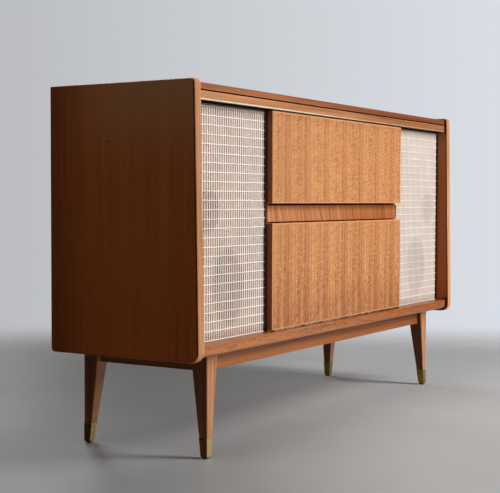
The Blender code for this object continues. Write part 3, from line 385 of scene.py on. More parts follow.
def grain(f, along, at=None, band=34.0, line=230.0, figure=1.2):
    """Bands, lines and pores of straight timber, as a tone round 0.5, the lines and the pores."""
    bands = f.noise(run(along, band, band / 45), 3.0, 0.55, 0.2, at)
    lines = f.noise(run(along, line, line / 75), 3.0, 0.6, 0.0, at)
    pores = f.ease(f.noise(run(along, 1300.0, 24.0), 1.0, 0.5, 0.0, at), 0.40, 0.32)
    return f.total(0.05 - 0.5 * figure, (bands, figure), (lines, 0.9)), lines, pores


def wear(f, node, colour, bare, share, depth, patches):
    """Rubs a node's edges through to a barer colour in patches, and hands back the colour and the wear."""
    worn = f.times(f.ease(inside_of(f, node), *depth), patches)
    return f.blend(f.times(worn, share), colour, bare), worn


def coat(finish, *names):
    """Gives CAD nodes a finish through their slots."""
    for name in names:
        for place in NODES[name].material_slots:
            place.material = finish


def timber(node, kind, along, shades, gloss=0.36, band=34.0, line=230.0, figure=1.0, turn=0.0, dashes=0.0,
           soil_and_shade=None, flank_shade=None, tone_shift=None, ahead=None, shadow_bands=(), sockets=LACQUER):
    """Coats a node with straight grain, worn on its edges.

    It may be dashed, darkened by height as painted shadow, given painted shade on faces that look left or right,
    shifted in tone along an axis, and given black painted shadow lines.
    """
    light, middle, dark = shades
    f = Finish(f"{node}_{kind}", sockets)
    at = f.add("Mapping", f.place, None, (0.0, turn, 0.0))
    tone, lines, pores = grain(f, along, at, band, line, figure)
    tone = f.total(tone, (pores, -0.12))
    if dashes:
        dash = f.noise(run(along, 330.0, 50.0), 1.0, 0.5, 0.0, at)
        tone = f.total(tone, (f.ease(dash, 0.44, 0.30), -dashes))
    # painted shadow: darker in a band of height, under a part that shades it
    if soil_and_shade:
        tone = f.total(tone, (f.ease(f.z, *soil_and_shade), -0.32))
    colour = f.tones(tone, (0.12, dark), (0.5, middle), (0.88, light))
    # painted shade on faces that look left or right
    if flank_shade:
        colour = f.dye(colour, flank_shade, sideways(f))
    # a shift in tone along an axis; on the aprons this is painted light and shade
    if tone_shift:
        axis, *change = tone_shift
        share = f.ease(f.y, ahead, ahead - 0.004) if ahead else 1.0
        colour = f.drift(colour, {"X": f.x, "Z": f.z}[axis], *change, share)
    rubbed = f.ease(f.noise(46.0, 3.0, 0.6), 0.40, 0.72)
    colour, worn = wear(f, node, colour, light, share=0.45, depth=(0.0022, 0.0002), patches=rubbed)
    # painted shadow: black lines in grooves and under the rail, in front of the cloth
    for clean, black in shadow_bands:
        share = f.times(f.ease(f.z, clean, black), f.ease(f.y, *BEFORE_CLOTH))
        colour = f.blend(share, colour, scaled(dark, 0.06))
    roughness = f.total(gloss - 0.05, (lines, 0.10), (worn, 0.12))
    coat(f.surface(colour, roughness, f.total(0.0, (lines, 0.5), (pores, -1.0)), depth=0.00012), node)


def metal(name, polished, dull, rough=0.32, brush=(90.0, 90.0, 900.0)):
    """Plated or solid metal with dulled places and fine brushing."""
    f = Finish(name, METAL)
    cloud, lines = f.noise(60.0, 4.0, 0.6, 0.4), f.noise(brush)
    aged = f.ease(f.total(-0.1, (cloud, 0.9), (lines, 0.3)), 0.42, 0.68)
    roughness = f.total(rough - 0.1, (aged, 0.2), (lines, 0.12))
    return f.surface(f.blend(aged, polished, dull), roughness, lines, depth=0.00003)


def moulding(name, shade, rough=0.3, grit=700.0, sockets=MOULDED, clouds=(0.82, 1.14)):
    """Moulded plastic or enamel with faint clouds and a fine skin."""
    f = Finish(name, sockets)
    cloud, skin = f.noise(35.0, 3.0, 0.55, 0.6), f.noise(grit)
    colour = f.mottle(cloud, shade, *zip((0.3, 0.7), clouds))
    return f.surface(colour, f.total(rough - 0.08, (cloud, 0.12), (skin, 0.08)), skin, depth=0.00004)


def link(thing):
    """Puts an object in the scene."""
    bpy.context.scene.collection.objects.link(thing)
    return thing


def finished(name, shape, finish, smooth=False):
    """Makes a bmesh an object with one finish."""
    mesh = bpy.data.meshes.new(name)
    shape.to_mesh(mesh)
    shape.free()
    mesh.materials.append(finish)
    if smooth:
        mesh.shade_smooth()
    return link(bpy.data.objects.new(name, mesh))


def settle(name, shape, finish, body="cabinet", smooth=False):
    """Makes a bmesh a finished piece that rides on a body."""
    piece = finished(name, shape, finish, smooth)
    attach(piece, body)
    return piece


def everything(shape):
    """All vertices, edges and faces of a shape."""
    return shape.verts[:] + shape.edges[:] + shape.faces[:]


def verts_of(made):
    """The vertices among what an operator made."""
    return [item for item in made if isinstance(item, bmesh.types.BMVert)]


def edges_round(verts):
    """Every edge that meets one of the vertices."""
    return list({edge for vert in verts for edge in vert.link_edges})


def outward(shape):
    """Turns all faces of a closed shape outwards."""
    bmesh.ops.recalc_face_normals(shape, faces=shape.faces)
    return shape


def put(shape, matrix):
    """Moves a whole shape."""
    bmesh.ops.transform(shape, matrix=matrix, verts=shape.verts)
    return shape


def upright(size, place=(0, 0, 0)):
    """A matrix that stands a flat unit square up, sized and facing the front."""
    return Matrix.Translation(place) @ Matrix.Rotation(math.pi / 2, 4, "X") @ Matrix.Diagonal((*size, 1, 1))


def facing(way, place, turn=0.0):
    """A matrix that takes +Z to a direction at a place."""
    aim = Vector(way).to_track_quat("Z", "Y").to_matrix().to_4x4()
    return Matrix.Translation(place) @ aim @ Matrix.Rotation(turn, 4, "Z")


def rod(shape, sides, start, halves, moves):
    """Draws a ring with two half sizes along a row of moves and closes both ends."""
    ring = bmesh.ops.create_circle(shape, segments=sides, radius=1.0, matrix=start @ Matrix.Diagonal((*halves, 1, 1)))
    first = edges = edges_round(ring["verts"])
    for move in moves:
        drawn = bmesh.ops.extrude_edge_only(shape, edges=edges)["geom"]
        bmesh.ops.translate(shape, verts=verts_of(drawn), vec=move)
        edges = [item for item in drawn if isinstance(item, bmesh.types.BMEdge) and item.is_boundary]
    bmesh.ops.holes_fill(shape, edges=first + edges)


def repeat(shape, count, move):
    """Repeats all that is in a shape along a row."""
    pattern = everything(shape)
    for number in range(1, count):
        copy = bmesh.ops.duplicate(shape, geom=pattern)["geom"]
        bmesh.ops.translate(shape, verts=verts_of(copy), vec=move * number)
    return shape


def turned(profile, steps):
    """A closed shape spun about Z from the half section (radius, height)."""
    shape = bmesh.new()
    verts = [shape.verts.new((radius, 0.0, height)) for radius, height in profile]
    edges = [shape.edges.new(pair) for pair in zip(verts, verts[1:])]
    bmesh.ops.spin(shape, geom=verts + edges, cent=(0, 0, 0), axis=(0, 0, 1), angle=math.tau, steps=steps,
                   use_merge=True)
    bmesh.ops.remove_doubles(shape, verts=shape.verts, dist=1e-7)
    return outward(shape)


def stamp(shape, pattern, spots):
    """Copies a pattern into a shape at each matrix, and drops the pattern."""
    stencil = bpy.data.meshes.new("stencil")
    pattern.to_mesh(stencil)
    pattern.free()
    for spot in spots:
        before = len(shape.verts)
        shape.from_mesh(stencil)
        shape.verts.ensure_lookup_table()
        bmesh.ops.transform(shape, matrix=spot, verts=shape.verts[before:])
    bpy.data.meshes.remove(stencil)
    return shape


def lift_faces(shape, rise):
    """Draws all faces of a flat shape towards the front and hands back the drawn verts."""
    verts = verts_of(bmesh.ops.extrude_face_region(shape, geom=shape.faces[:])["geom"])
    bmesh.ops.translate(shape, verts=verts, vec=(0, -rise, 0))
    return verts


def slab(size, segments, rise):
    """A thin upright plate that faces the front."""
    shape = bmesh.new()
    bmesh.ops.create_grid(shape, x_segments=segments[0], y_segments=segments[1], size=0.5, matrix=upright(size))
    lift_faces(shape, rise)
    return outward(shape)


def screw(radius, rise):
    """A slotted round head that faces +Z."""
    section = ((0.0, 1.0), (0.5, 0.9), (0.85, 0.6), (1.0, 0.0), (0.0, 0.0))
    head = turned([(across * radius, up * rise) for across, up in section], steps=12)
    bmesh.ops.bisect_plane(head, geom=everything(head), plane_co=(0.14 * radius, 0, 0), plane_no=(1, 0, 0),
                           clear_inner=True)
    bmesh.ops.holes_fill(head, edges=[edge for edge in head.edges if edge.is_boundary])
    bmesh.ops.mirror(head, geom=everything(head), axis="X", merge_dist=0.0)
    bmesh.ops.create_cone(head, cap_ends=True, segments=12, radius1=0.9 * radius, radius2=0.8 * radius,
                          depth=0.4 * rise, matrix=Matrix.Translation((0, 0, 0.2 * rise)))
    return outward(head)


def bead_cream(wood):
    """Cream plastic that turns to the rail's wood colour towards the right."""
    f = Finish("cream_bead", {"Coat Weight": 0.2})
    cloud, scratch = f.noise((14.0, 60.0, 60.0), 3.0, 0.6), f.noise((40.0, 900.0, 900.0))
    colour = f.tones(cloud, (0.3, (0.72, 0.64, 0.50)), (0.7, (0.90, 0.84, 0.71)))
    colour = f.blend(f.ease(f.x, -0.35, 0.30, 0.0, 0.85), colour, wood.rail_middle)
    return f.surface(colour, f.total(0.2, (scratch, 0.2)), scratch, depth=0.00004)


def panel_veneer(wood, side):
    """Dark upright veneer with a pale solid lipping along the leaning front edge, with painted sheen and painted
    shade.
    """
    node = side + "_side_panel"
    low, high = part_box(node)
    f = Finish(side + "_panel_veneer", SATIN)
    tone, lines, pores = grain(f, "Z", band=24.0, line=190.0, figure=0.6)
    if side == "left":
        knots, front_shade = knot_marks(f), -0.14
    else:
        knots, front_shade = f.ease(f.noise((42.0, 42.0, 24.0), 1.0), 0.19, 0.12), 0.0
    broad = f.noise(run("Z", 6.0, 0.6), 2.0, 0.5, 0.1)
    # painted shade: the left panel darker towards its front, both panels a little darker towards the foot; both are
    # also darker towards the back
    rear, fore, foot = f.ease(f.y, 0.02, 0.20), f.ease(f.y, -0.06, -0.18), f.ease(f.z, 0.48, 0.26)
    tone = f.total(0.09, (tone, 0.6), (broad, 0.35), (pores, -0.08), (knots, -0.5), (rear, -0.33),
                   (fore, front_shade), (foot, -0.07))
    colour = f.tones(tone, (0.12, wood.side_dark), (0.5, wood.side_middle), (0.9, wood.side_light))
    # painted reflection: a pale sheen high on the panel, stronger towards its front
    painted_sheen = f.times(f.ease(f.z, 0.60, 0.80), f.ease(f.y, 0.19, -0.02), 0.50)
    colour = f.blend(painted_sheen, colour, wood.side_painted_sheen)
    lean = PANEL_LEAN / (high.z - low.z)
    behind = f.minus(f.y, f.total(PANEL_FOOT - lean * low.z, (f.z, lean)))
    joint = f.times(f.ease(behind, 4.5 * wood.panel_lipping, 1.5 * wood.panel_lipping), 0.9)
    colour = f.blend(joint, colour, scaled(wood.side_dark, 0.3))
    # painted shade: the inner face in front of the rail and the bottom board is darkened where it lies in shadow
    middle = abs(low.x + high.x) / 2
    inner = f.ease(f.apart(f.x, 0.0), middle + 0.002, middle - 0.002)
    corners = f.maths("MAXIMUM", f.ease(f.z, *PANEL_SHADE_HEAD), f.ease(f.z, *PANEL_SHADE_FOOT))
    shaded = f.times(inner, f.ease(f.y, *PANEL_SHADE_FRONT), corners, 0.85)
    colour = f.blend(shaded, colour, scaled(wood.side_dark, 0.1))
    colour = f.blend(lipped(f, wood, behind), colour, lipping_grain(f, wood, side))
    rubbed = f.ease(f.noise((40.0, 40.0, 12.0), 3.0, 0.6), 0.5, 0.8)
    colour, worn = wear(f, node, colour, wood.rail_middle, share=0.3, depth=(0.003, 0.0006), patches=rubbed)
    return f.surface(colour, f.total(0.30, (lines, 0.12), (worn, 0.1)),
                     f.total(0.0, (lines, 0.5), (pores, -1.0)))


def lipped(f, wood, behind):
    """1 on the lipping, which reaches further back where the edge rounds into the head and the foot."""
    foot_bend, head_bend = 0.025, 0.011
    edge = f.ease(behind, wood.panel_lipping + LINE_BLUR, wood.panel_lipping - LINE_BLUR)
    bend = f.ease(f.minus(behind, f.ease(f.z, *PANEL_BEND, foot_bend, head_bend)), 0.002, -0.002)
    return f.maths("MAXIMUM", edge, f.times(bend, f.minus(1.0, sideways(f))))


def lipping_grain(f, wood, side):
    """Colour of the lipping's grain, and on the right a change by height."""
    tone, _, pores = grain(f, "Z", band=70.0, line=330.0)
    colour = f.tones(f.total(tone, (pores, -0.15)), (0.0, wood.rail_dark), (0.31, wood.rail_middle),
                     (0.68, wood.rail_light))
    # on the right, darker at the head and paler towards the foot
    if side == "right":
        colour = f.drift(colour, f.z, 0.74, 0.50, (0.84, 0.80, 0.74), (1.16, 1.20, 1.28))
    return colour


def knot_marks(f):
    """A small dark knot and three faint marks."""
    marks = 0.0
    for middle, halves, strength in KNOTS:
        away = f.maths("SQRT", oval(f, (f.y, f.z), middle, halves))
        marks = f.total(marks, (f.ease(away, 1.3, 0.4), strength))
    return marks


class CONSOLE_OT_veneer_carcass(Operator):
    """Veneers the side panels and gives rails, boards and the pull strip their grain"""

    bl_idname = "console.veneer_carcass"
    bl_label = "Veneer Carcass"

    def execute(self, context):
        wood = context.scene.console_wood
        rails = rail_shades(wood)
        for side in SIDES:
            coat(panel_veneer(wood, side), side + "_side_panel")
        timber("top_board", "veneer", "X", stain(rails, (0.475, 0.30, 0.245)), gloss=0.58, band=26.0,
               figure=1.6, tone_shift=("X", -0.50, 0.25, (1.78, 2.20, 2.24), (0.95, 1.00, 0.95)), ahead=TOP_FRONT,
               shadow_bands=(GROOVE_HEAD,), sockets=SATIN)
        timber("top_rail", "wood", "X", rails, figure=1.5, shadow_bands=(RAIL_FOOT, GROOVE_FOOT),
               tone_shift=("X", -0.10, 0.40, (1.09, 1.11, 1.10), (0.75, 0.72, 0.68)))
        timber("bottom_board", "wood", "X", stain(rails, (0.84, 0.65, 0.42)), gloss=0.30, dashes=0.4,
               tone_shift=("X", -0.40, 0.30, (1.0, 1.03, 1.20), (0.96, 0.93, 0.85)))
        timber("pull_strip", "veneer", "Z", stain(rails, (1.0, 0.89, 0.80)), band=125.0, line=480.0,
               figure=1.6, turn=math.radians(17.0), soil_and_shade=PULL_SHADE,
               tone_shift=("X", -0.08, 0.15, (1.0, 1.0, 1.04), (0.775, 0.64, 0.50)))
        for node, along in (("left_partition", "Z"), ("right_partition", "Z"), ("middle_shelf", "X"),
                            ("changer_plinth", "X")):
            timber(node, "board", along, board_shades(wood), gloss=0.5)
        coat(bead_cream(wood), "rail_bead")
        return {"FINISHED"}


def door_veneer(wood, node):
    """Upright leaves with a dark joint and a vein, inside a solid lipping, with painted shade on the upright edges.
    """
    low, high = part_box(node)
    f = Finish(node + "_veneer", LACQUER)
    count = f.total(DOOR_LEAVES_LEFT, (f.x, 1.0 / wood.leaf_width))
    number, across = f.maths("FLOOR", count), f.maths("FRACT", count)
    chance = f.add("TexWhiteNoise", None, number, noise_dimensions="1D")
    slip = f.add("CombineXYZ", f.times(across, wood.leaf_width), f.y, f.total(f.z, (chance, 0.018)))
    tone, lines, pores = grain(f, "Z", slip, band=48.0, line=380.0, figure=0.25)
    streaks = f.noise((112.0, 20.0, 1.0), 2.0, 0.6, 0.0, f.add("Mapping", slip, (0.0, 0.0, 1.85)))
    figure = ribbons(f, slip, number, across)
    middle = f.maths("SINE", f.times(across, math.pi))
    joint = f.ease(f.maths("MINIMUM", across, f.minus(1.0, across)), 0.018, 0.004)
    vein = f.ease(f.apart(across, VEIN), 0.06, 0.01)
    # painted shade: darker towards the foot and in the rail's shadow at the head; a little darker towards the right
    # as well
    foot, right, head = f.ease(f.z, 0.42, 0.25), f.ease(f.x, 0.0, 0.30), f.ease(f.z, 0.735, 0.763)
    tone = f.total(-0.35, (tone, 0.85), (streaks, 0.70), (figure, 0.21), (middle, 0.06), (chance, 0.06),
                   (pores, -0.12), (joint, -0.22), (vein, -0.18), (foot, -0.17), (right, -0.04), (head, -0.12))
    colour = f.tones(tone, (0.08, wood.door_dark), (0.5, wood.door_middle), (0.9, wood.door_light))
    colour = f.blend(f.times(joint, 0.42), colour, wood.door_dark)
    colour = f.dye(colour, (1.0, 0.90, 1.02), f.times(f.ease(across, 0.55, 1.0), 0.35))
    ends, rise = within(f, f.x, low.x, high.x), within(f, f.z, low.z, high.z)
    rim = f.ease(f.maths("MINIMUM", ends, rise), wood.lipping + LINE_BLUR, wood.lipping - LINE_BLUR)
    lip = f.tones(lines, (0.3, wood.rail_middle), (0.6, wood.rail_light))
    colour = f.blend(rim, colour, f.blend(0.35, lip, (0.70, 0.27, 0.075)))
    # painted shade on the upright edges, turning to black painted shadow towards the back
    stained = f.mottle(lines, wood.edge, (0.3, 0.4), (0.7, 1.0))
    stained = f.drift(stained, f.y, *DOOR_EDGE_SHADOW, PLAIN, (0.08, 0.08, 0.08))
    colour = f.blend(f.ease(ends, 0.0007, 0.0003), colour, stained)
    rubbed = f.ease(f.noise(50.0, 3.0, 0.6), 0.4, 0.7)
    colour, worn = wear(f, node, colour, wood.door_light, share=0.3, depth=(0.0020, 0.0004), patches=rubbed)
    return f.surface(colour, f.total(0.30, (lines, 0.10), (figure, -0.05), (worn, 0.1)),
                     f.total(0.0, (lines, 0.4), (pores, -0.9)), depth=0.00012)


def ribbons(f, slip, number, across):
    """Slanting rungs and strokes in patches, fuller towards the right, the foot and each leaf's right."""
    spread = f.add("VectorMath", slip, None, None, f.total(1.06, (number, -0.035)), operation="SCALE")
    slant = f.add("Mapping", spread, None, (0.0, math.radians(24.0), 0.0))
    wander = f.noise((45.0, 20.0, 70.0), at=slip)
    rung = f.add("SeparateXYZ", slant, outlet="Z")
    rungs = f.maths("SINE", f.total(0.0, (rung, math.tau / RUNG_PITCH), (wander, 7.0)))
    strokes = f.ease(f.noise((75.0, 20.0, 270.0), at=slant), 0.36, 0.64, -1.0, 1.0)
    patch = f.total(0.48, (f.ease(f.noise((30.0, 8.0, 8.0), at=slip), 0.38, 0.62), 0.52))
    return f.times(f.total(0.0, (rungs, 0.55), (strokes, 0.65)), patch, f.ease(across, 0.05, 0.55, 0.5, 1.0),
                   f.ease(f.x, -0.25, 0.30, 1.0, 1.4), f.ease(f.z, 0.48, 0.30, 1.0, 1.25))


class CONSOLE_OT_veneer_doors(Operator):
    """Lays slip-matched ribbon veneer and solid lippings on the two doors"""

    bl_idname = "console.veneer_doors"
    bl_label = "Veneer Doors"

    def execute(self, context):
        for node in ("upper_door", "lower_door"):
            coat(door_veneer(context.scene.console_wood, node), node)
        return {"FINISHED"}


def weave_grille(cloth, side):
    """Makes the ground, the threads, the cords and the near-black strips of painted shadow of one grille."""
    node = side + "_grille_cloth"
    low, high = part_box(node)
    width, height = high.x - low.x, high.z - low.z
    centre = ((low.x + high.x) / 2, low.y, (low.z + high.z) / 2)
    shape = bmesh.new()
    bmesh.ops.create_grid(shape, x_segments=24, y_segments=40, size=0.5, matrix=upright((width, height), centre))
    bmesh.ops.solidify(shape, geom=shape.faces, thickness=0.0008)
    ground = settle(side + "_ground_cloth", outward(shape), ground_weave(cloth, side))
    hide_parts(node)
    count = int(width / cloth.thread_pitch)
    start = low.x + (width - (count - 1) * cloth.thread_pitch) / 2
    threads = settle(side + "_threads", lay_threads(cloth, count, start, low, height),
                     yarn(side + "_thread_yarn", cloth, side, cloth.thread, twist=700.0), smooth=True)
    cords = settle(side + "_cords", lay_cords(cloth, count, start, low, high),
                   yarn(side + "_cord_yarn", cloth, side, cloth.cord, twist=900.0), smooth=True)
    # strips of painted shadow
    painted_shadow_strips = lay_shadow_strips(cloth, side, low, high)


def lay_threads(cloth, count, start, low, height):
    """Flat upright threads that sway a little between the cords."""
    steps, sway, thickness, inset, ahead = 26, 0.00022, 0.0012, 0.0003, 0.0002
    rise = (height - 2 * inset) / steps
    offsets = [sway * math.sin(2.4 * k) for k in range(steps + 1)]
    shape = bmesh.new()
    rod(shape, 8, Matrix.Translation((start, low.y - ahead, low.z + inset)),
        (cloth.thread_width / 2, thickness / 2),
        [(after - before, 0, rise) for before, after in zip(offsets, offsets[1:])])
    return repeat(outward(shape), count, Vector((cloth.thread_pitch, 0, 0)))


def lay_cords(cloth, count, start, low, high):
    """Round cords that dip between the threads they cross."""
    inset, dip, foot, spare, ahead = 0.0004, 0.00018, 0.0015, 0.012, 0.0010
    stops = [start + k * cloth.thread_pitch / 2 for k in range(2 * count - 1)] + [high.x - inset]
    path = [(low.x + inset, 0.0)] + [(x, dip if k % 2 else -dip) for k, x in enumerate(stops)]
    shape = bmesh.new()
    rod(shape, 8, Matrix.Translation((low.x + inset, low.y - ahead, low.z + foot))
        @ Matrix.Rotation(math.pi / 2, 4, "Y"), (cloth.cord_radius, cloth.cord_radius),
        [(x - last_x, y - last_y, 0) for (last_x, last_y), (x, y) in zip(path, path[1:])])
    rows = int((high.z - low.z - spare) / cloth.cord_pitch) + 1
    return repeat(outward(shape), rows, Vector((0, 0, cloth.cord_pitch)))


def lay_shadow_strips(cloth, side, low, high):
    """Near-black felt strips under the rail and beside the panel: painted shadow, which also hides the cloth's edge.
    """
    play, rise, proud, back, drop, width = 0.0002, 0.0018, 0.0010, 0.0008, 0.0032, 0.0055
    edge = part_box("top_rail")[0].z - drop
    outer = high.x if side == "right" else low.x
    left, right = sorted((outer, outer - math.copysign(width, outer)))
    shape = bmesh.new()
    for near, far in (
            ((low.x + play, low.y - rise, edge), (high.x - play, low.y - back, high.z - play)),
            ((left + play, low.y - rise - proud, low.z + play), (right - play, low.y - play, edge - play))):
        near, far = Vector(near), Vector(far)
        made = bmesh.ops.create_cube(shape, size=1.0, matrix=(
            Matrix.Translation((near + far) / 2) @ Matrix.Diagonal((*(far - near), 1))))
        bmesh.ops.bevel(shape, geom=edges_round(made["verts"]), offset=0.0003, segments=2, profile=0.5,
                        affect="EDGES", material=-1)
    # near-black felt in place of the shadow of the rail and the panel
    f = Finish(side + "_binding_felt", {"Specular IOR Level": 0.05})
    nap, lint = f.noise(900.0, 3.0, 0.7), f.noise(120.0, 3.0, 0.6)
    colour = f.mottle(f.total(-0.1, (nap, 0.7), (lint, 0.5)), cloth.shadow_strip, (0.3, 0.5), (0.8, 1.6))
    felt = f.surface(colour, f.total(0.8, (nap, 0.2)), nap, depth=0.0002)
    return settle(side + "_grille_binding", shape, felt)


def paled(cloth, side, shade):
    """A shade as it is on the left, and mixed towards a pale cream on the right."""
    share = cloth.right_tone_shift if side == "right" else 0.0
    return [fresh + share * (pale_cream - fresh) for fresh, pale_cream in zip(shade, cloth.pale_cream)]


def openings(f, side):
    """Where a loudspeaker's opening darkens the cloth."""
    sign = -1.0 if side == "left" else 1.0
    return f.maths("MAXIMUM", *(f.ease(oval(f, (f.x, f.z), (sign * x, z), halves), 1.25, 0.65)
                                for (x, z), halves in OPENINGS))


def shade_under_rail(f, colour):
    """Darkens a colour with a painted shadow under the rail."""
    return f.drift(colour, f.z, *CLOTH_SHADE, PLAIN, (0.33, 0.24, 0.20))


def yarn(name, cloth, side, shade, twist):
    """Spun yarn: soft fibres, a slanting twist and a little sheen."""
    shade = paled(cloth, side, shade)
    f = Finish(name, {"Sheen Weight": 0.25, "Sheen Roughness": 0.5, "Specular IOR Level": 0.2})
    slant = f.total(0.0, (f.x, 1.0), (f.z, 0.75))
    ply = f.maths("SINE", f.times(slant, twist * math.tau))
    fibre, soil_and_shade = f.noise(1500.0, 2.0, 0.6), f.noise((20.0, 20.0, 14.0), 3.0, 0.6)
    tone = f.total(0.07, (ply, 0.08), (fibre, 0.5), (soil_and_shade, 0.45), (openings(f, side), -0.22))
    deep, = stain([shade], (0.80, 0.76, 0.72))
    colour = shade_under_rail(f, f.tones(tone, (0.15, deep), (0.55, shade), (0.9, scaled(shade, 1.1))))
    return f.surface(colour, f.total(0.78, (fibre, 0.2)), f.total(0.0, (ply, 0.5), (fibre, 1.0)), depth=0.0002)


def ground_weave(cloth, side):
    """Fine open weave, darker where a loudspeaker's opening lies behind it."""
    warp_pitch, weft_pitch = 0.0013, 0.0016
    f = Finish(side + "_ground_weave", {"Sheen Weight": 0.2, "Sheen Roughness": 0.6, "Specular IOR Level": 0.15})
    warp = f.maths("SINE", f.times(f.x, math.tau / warp_pitch))
    weft = f.maths("SINE", f.times(f.z, math.tau / weft_pitch))
    cross = f.times(warp, weft)
    slub, soil_and_shade = f.noise((30.0, 30.0, 420.0), 2.0, 0.6), f.noise((14.0, 14.0, 9.0), 3.0, 0.6)
    tone = f.total(0.07, (cross, 0.10), (slub, 0.55), (soil_and_shade, 0.3), (openings(f, side), -0.34))
    colour = f.tones(tone, *((place, paled(cloth, side, shade)) for place, shade in (
        (0.1, cloth.gap), (0.5, cloth.ground), (0.95, cloth.thread))))
    return f.surface(shade_under_rail(f, colour), f.total(0.8, (slub, 0.15)),
                     f.total(0.0, (cross, 0.5), (slub, 0.5)), depth=0.0002)


class CONSOLE_OT_weave_grilles(Operator):
    """Stretches a ground cloth on each baffle and lays upright threads and raised cords over it"""

    bl_idname = "console.weave_grilles"
    bl_label = "Weave Grilles"

    def execute(self, context):
        for side in SIDES:
            weave_grille(context.scene.console_cloth, side)
        return {"FINISHED"}


class CONSOLE_OT_finish_speakers(Operator):
    """Finishes the baffles and the loudspeakers behind the grilles"""

    bl_idname = "console.finish_speakers"
    bl_label = "Finish Speakers"

    def execute(self, context):
        wood, inside = context.scene.console_wood, context.scene.console_inside
        f = Finish("cone_card", {"Specular IOR Level": 0.25})
        felt, dust = f.noise(500.0, 3.0, 0.7), f.noise(22.0, 3.0, 0.6)
        colour = f.mottle(felt, inside.card, (0.3, 0.7), (0.7, 1.3))
        colour = f.blend(f.ease(dust, 0.45, 0.8), colour, (0.09, 0.08, 0.07))
        card = f.surface(colour, f.total(0.7, (felt, 0.2)), felt)
        for side in SIDES:
            timber(side + "_baffle", "board", "X", board_shades(wood), gloss=0.6)
            coat(card, side + "_woofer", side + "_tweeter")
        return {"FINISHED"}


def pin_place(corner, end):
    """A place on the leaning face that looks along the depth of the cabinet."""
    low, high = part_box(corner + "_ferrule")
    sign, outer = (1.0, low.y) if end == "front" else (-1.0, high.y)
    depth, foot = FERRULE_FOOT
    inward = depth + LEG_LEAN * (PIN_HEIGHT - foot)
    return facing((0, sign, -LEG_LEAN), ((low.x + high.x) / 2, outer + sign * inward, PIN_HEIGHT), turn=0.6)


def ferrule_brass(tones):
    """Aged brass with painted shade, darker towards the right and far darker on faces that look left or right, over a
    black glide.
    """
    f = Finish("ferrule_brass", METAL)
    cloud, lines = f.noise((120.0, 120.0, 70.0), 4.0, 0.6, 0.5), f.noise((900.0, 900.0, 60.0))
    aged = f.ease(f.total(-0.05, (cloud, 0.9), (lines, 0.25)), 0.40, 0.66)
    colour = f.blend(aged, tones.brass, tones.patina)
    # painted shade: darker towards the right, and far darker on faces that look left or right
    colour = f.drift(colour, f.x, -0.3, 0.5, (0.95, 0.93, 0.92), (0.60, 0.57, 0.50))
    colour = f.drift(colour, f.x, -0.3, 0.5, (0.17, 0.12, 0.04), (0.55, 0.46, 0.24), sideways(f))
    glide = f.ease(f.z, *GLIDE_HEAD)
    colour = f.blend(glide, colour, (0.02, 0.018, 0.016))
    return f.surface(colour, f.total(0.22, (aged, 0.25), (lines, 0.1), (glide, 0.3)), lines, depth=0.00003)


class CONSOLE_OT_finish_base(Operator):
    """Gives legs and aprons their grain and the ferrules their aged brass, glides and pins"""

    bl_idname = "console.finish_base"
    bl_label = "Finish Base"

    def execute(self, context):
        wood, tones = context.scene.console_wood, context.scene.console_metal
        rails = rail_shades(wood)
        # painted shade: leg faces that look left or right, deeper on the right legs
        flank_shade = {"left": (0.43, 0.31, 0.20), "right": (0.29, 0.20, 0.125)}
        brass = ferrule_brass(tones)
        spots = []
        for end in ("front", "rear"):
            for side in SIDES:
                corner = f"{end}_{side}"
                timber(corner + "_leg", "wood", "Z", rails, band=90.0, line=420.0, flank_shade=flank_shade[side])
                coat(brass, corner + "_ferrule")
                spots.append(pin_place(corner, end))
        dull = scaled(tones.patina, 0.3)
        settle("ferrule_pins", stamp(bmesh.new(), screw(radius=0.0026, rise=0.0009), spots),
               metal("pin_brass", dull, scaled(dull, 0.5), rough=0.4))
        # painted shade: the side aprons take a copy deepened to 0.6; every apron is painted darker at its head, under
        # the bottom board, and paler towards its foot
        for apron, along, deep in (("front_apron", "X", 1.0), ("rear_apron", "X", 1.0), ("left_apron", "Y", 0.6),
                                   ("right_apron", "Y", 0.6)):
            low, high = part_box(apron)
            shade_line, pale_line = (high.z + share * (low.z - high.z) for share in (0.35, 0.75))
            timber(apron, "wood", along, stain(rails, scaled((0.61, 0.48, 0.36), deep)), sockets=SATIN,
                   tone_shift=("Z", shade_line, pale_line, PLAIN, (1.36, 1.34, 1.27)))
        return {"FINISHED"}


def hinge_metal(tones, door, rubbed):
    """Browned metal, rubbed bright in spots that grow rare towards the right."""
    f = Finish(door + "_hinge_metal", METAL)
    rub, lines = f.noise((70.0, 60.0, 60.0), 3.0, 0.6), f.noise((60.0, 900.0, 900.0))
    bright = f.ease(f.total(rub, (f.ease(f.x, -0.15, 0.36), -0.13)), 0.38, 0.56)
    colour = f.mottle(lines, tones.browned, (0.3, 1.0), (0.7, 1.6))
    colour = f.blend(f.times(bright, rubbed), colour, tones.nickel)
    return f.surface(colour, f.total(0.42, (bright, -0.12 * rubbed), (lines, 0.1)), lines, depth=0.00003)


def screw_hinge(door, plate):
    """Flat heads on the open faces of both leaves."""
    count, margin, inset, half_gap = 9, 0.04, 0.0055, 0.0004
    low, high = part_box(door + "_hinge_fixed_leaf")
    step = (high.x - low.x - 2 * margin) / (count - 1)
    up = 1.0 if door == "lower" else -1.0
    for leaf, body, sign in (("fixed", "cabinet", up), ("door", door + "_flap", -up)):
        face = (low.z + high.z) / 2 - sign * half_gap
        spots = [facing((0, 0, sign), (low.x + margin + step * k, high.y - inset, face), turn=0.5 * k)
                 for k in range(count)]
        settle(f"{door}_hinge_{leaf}_screws", stamp(bmesh.new(), screw(radius=0.0026, rise=0.00022), spots),
               plate, body)


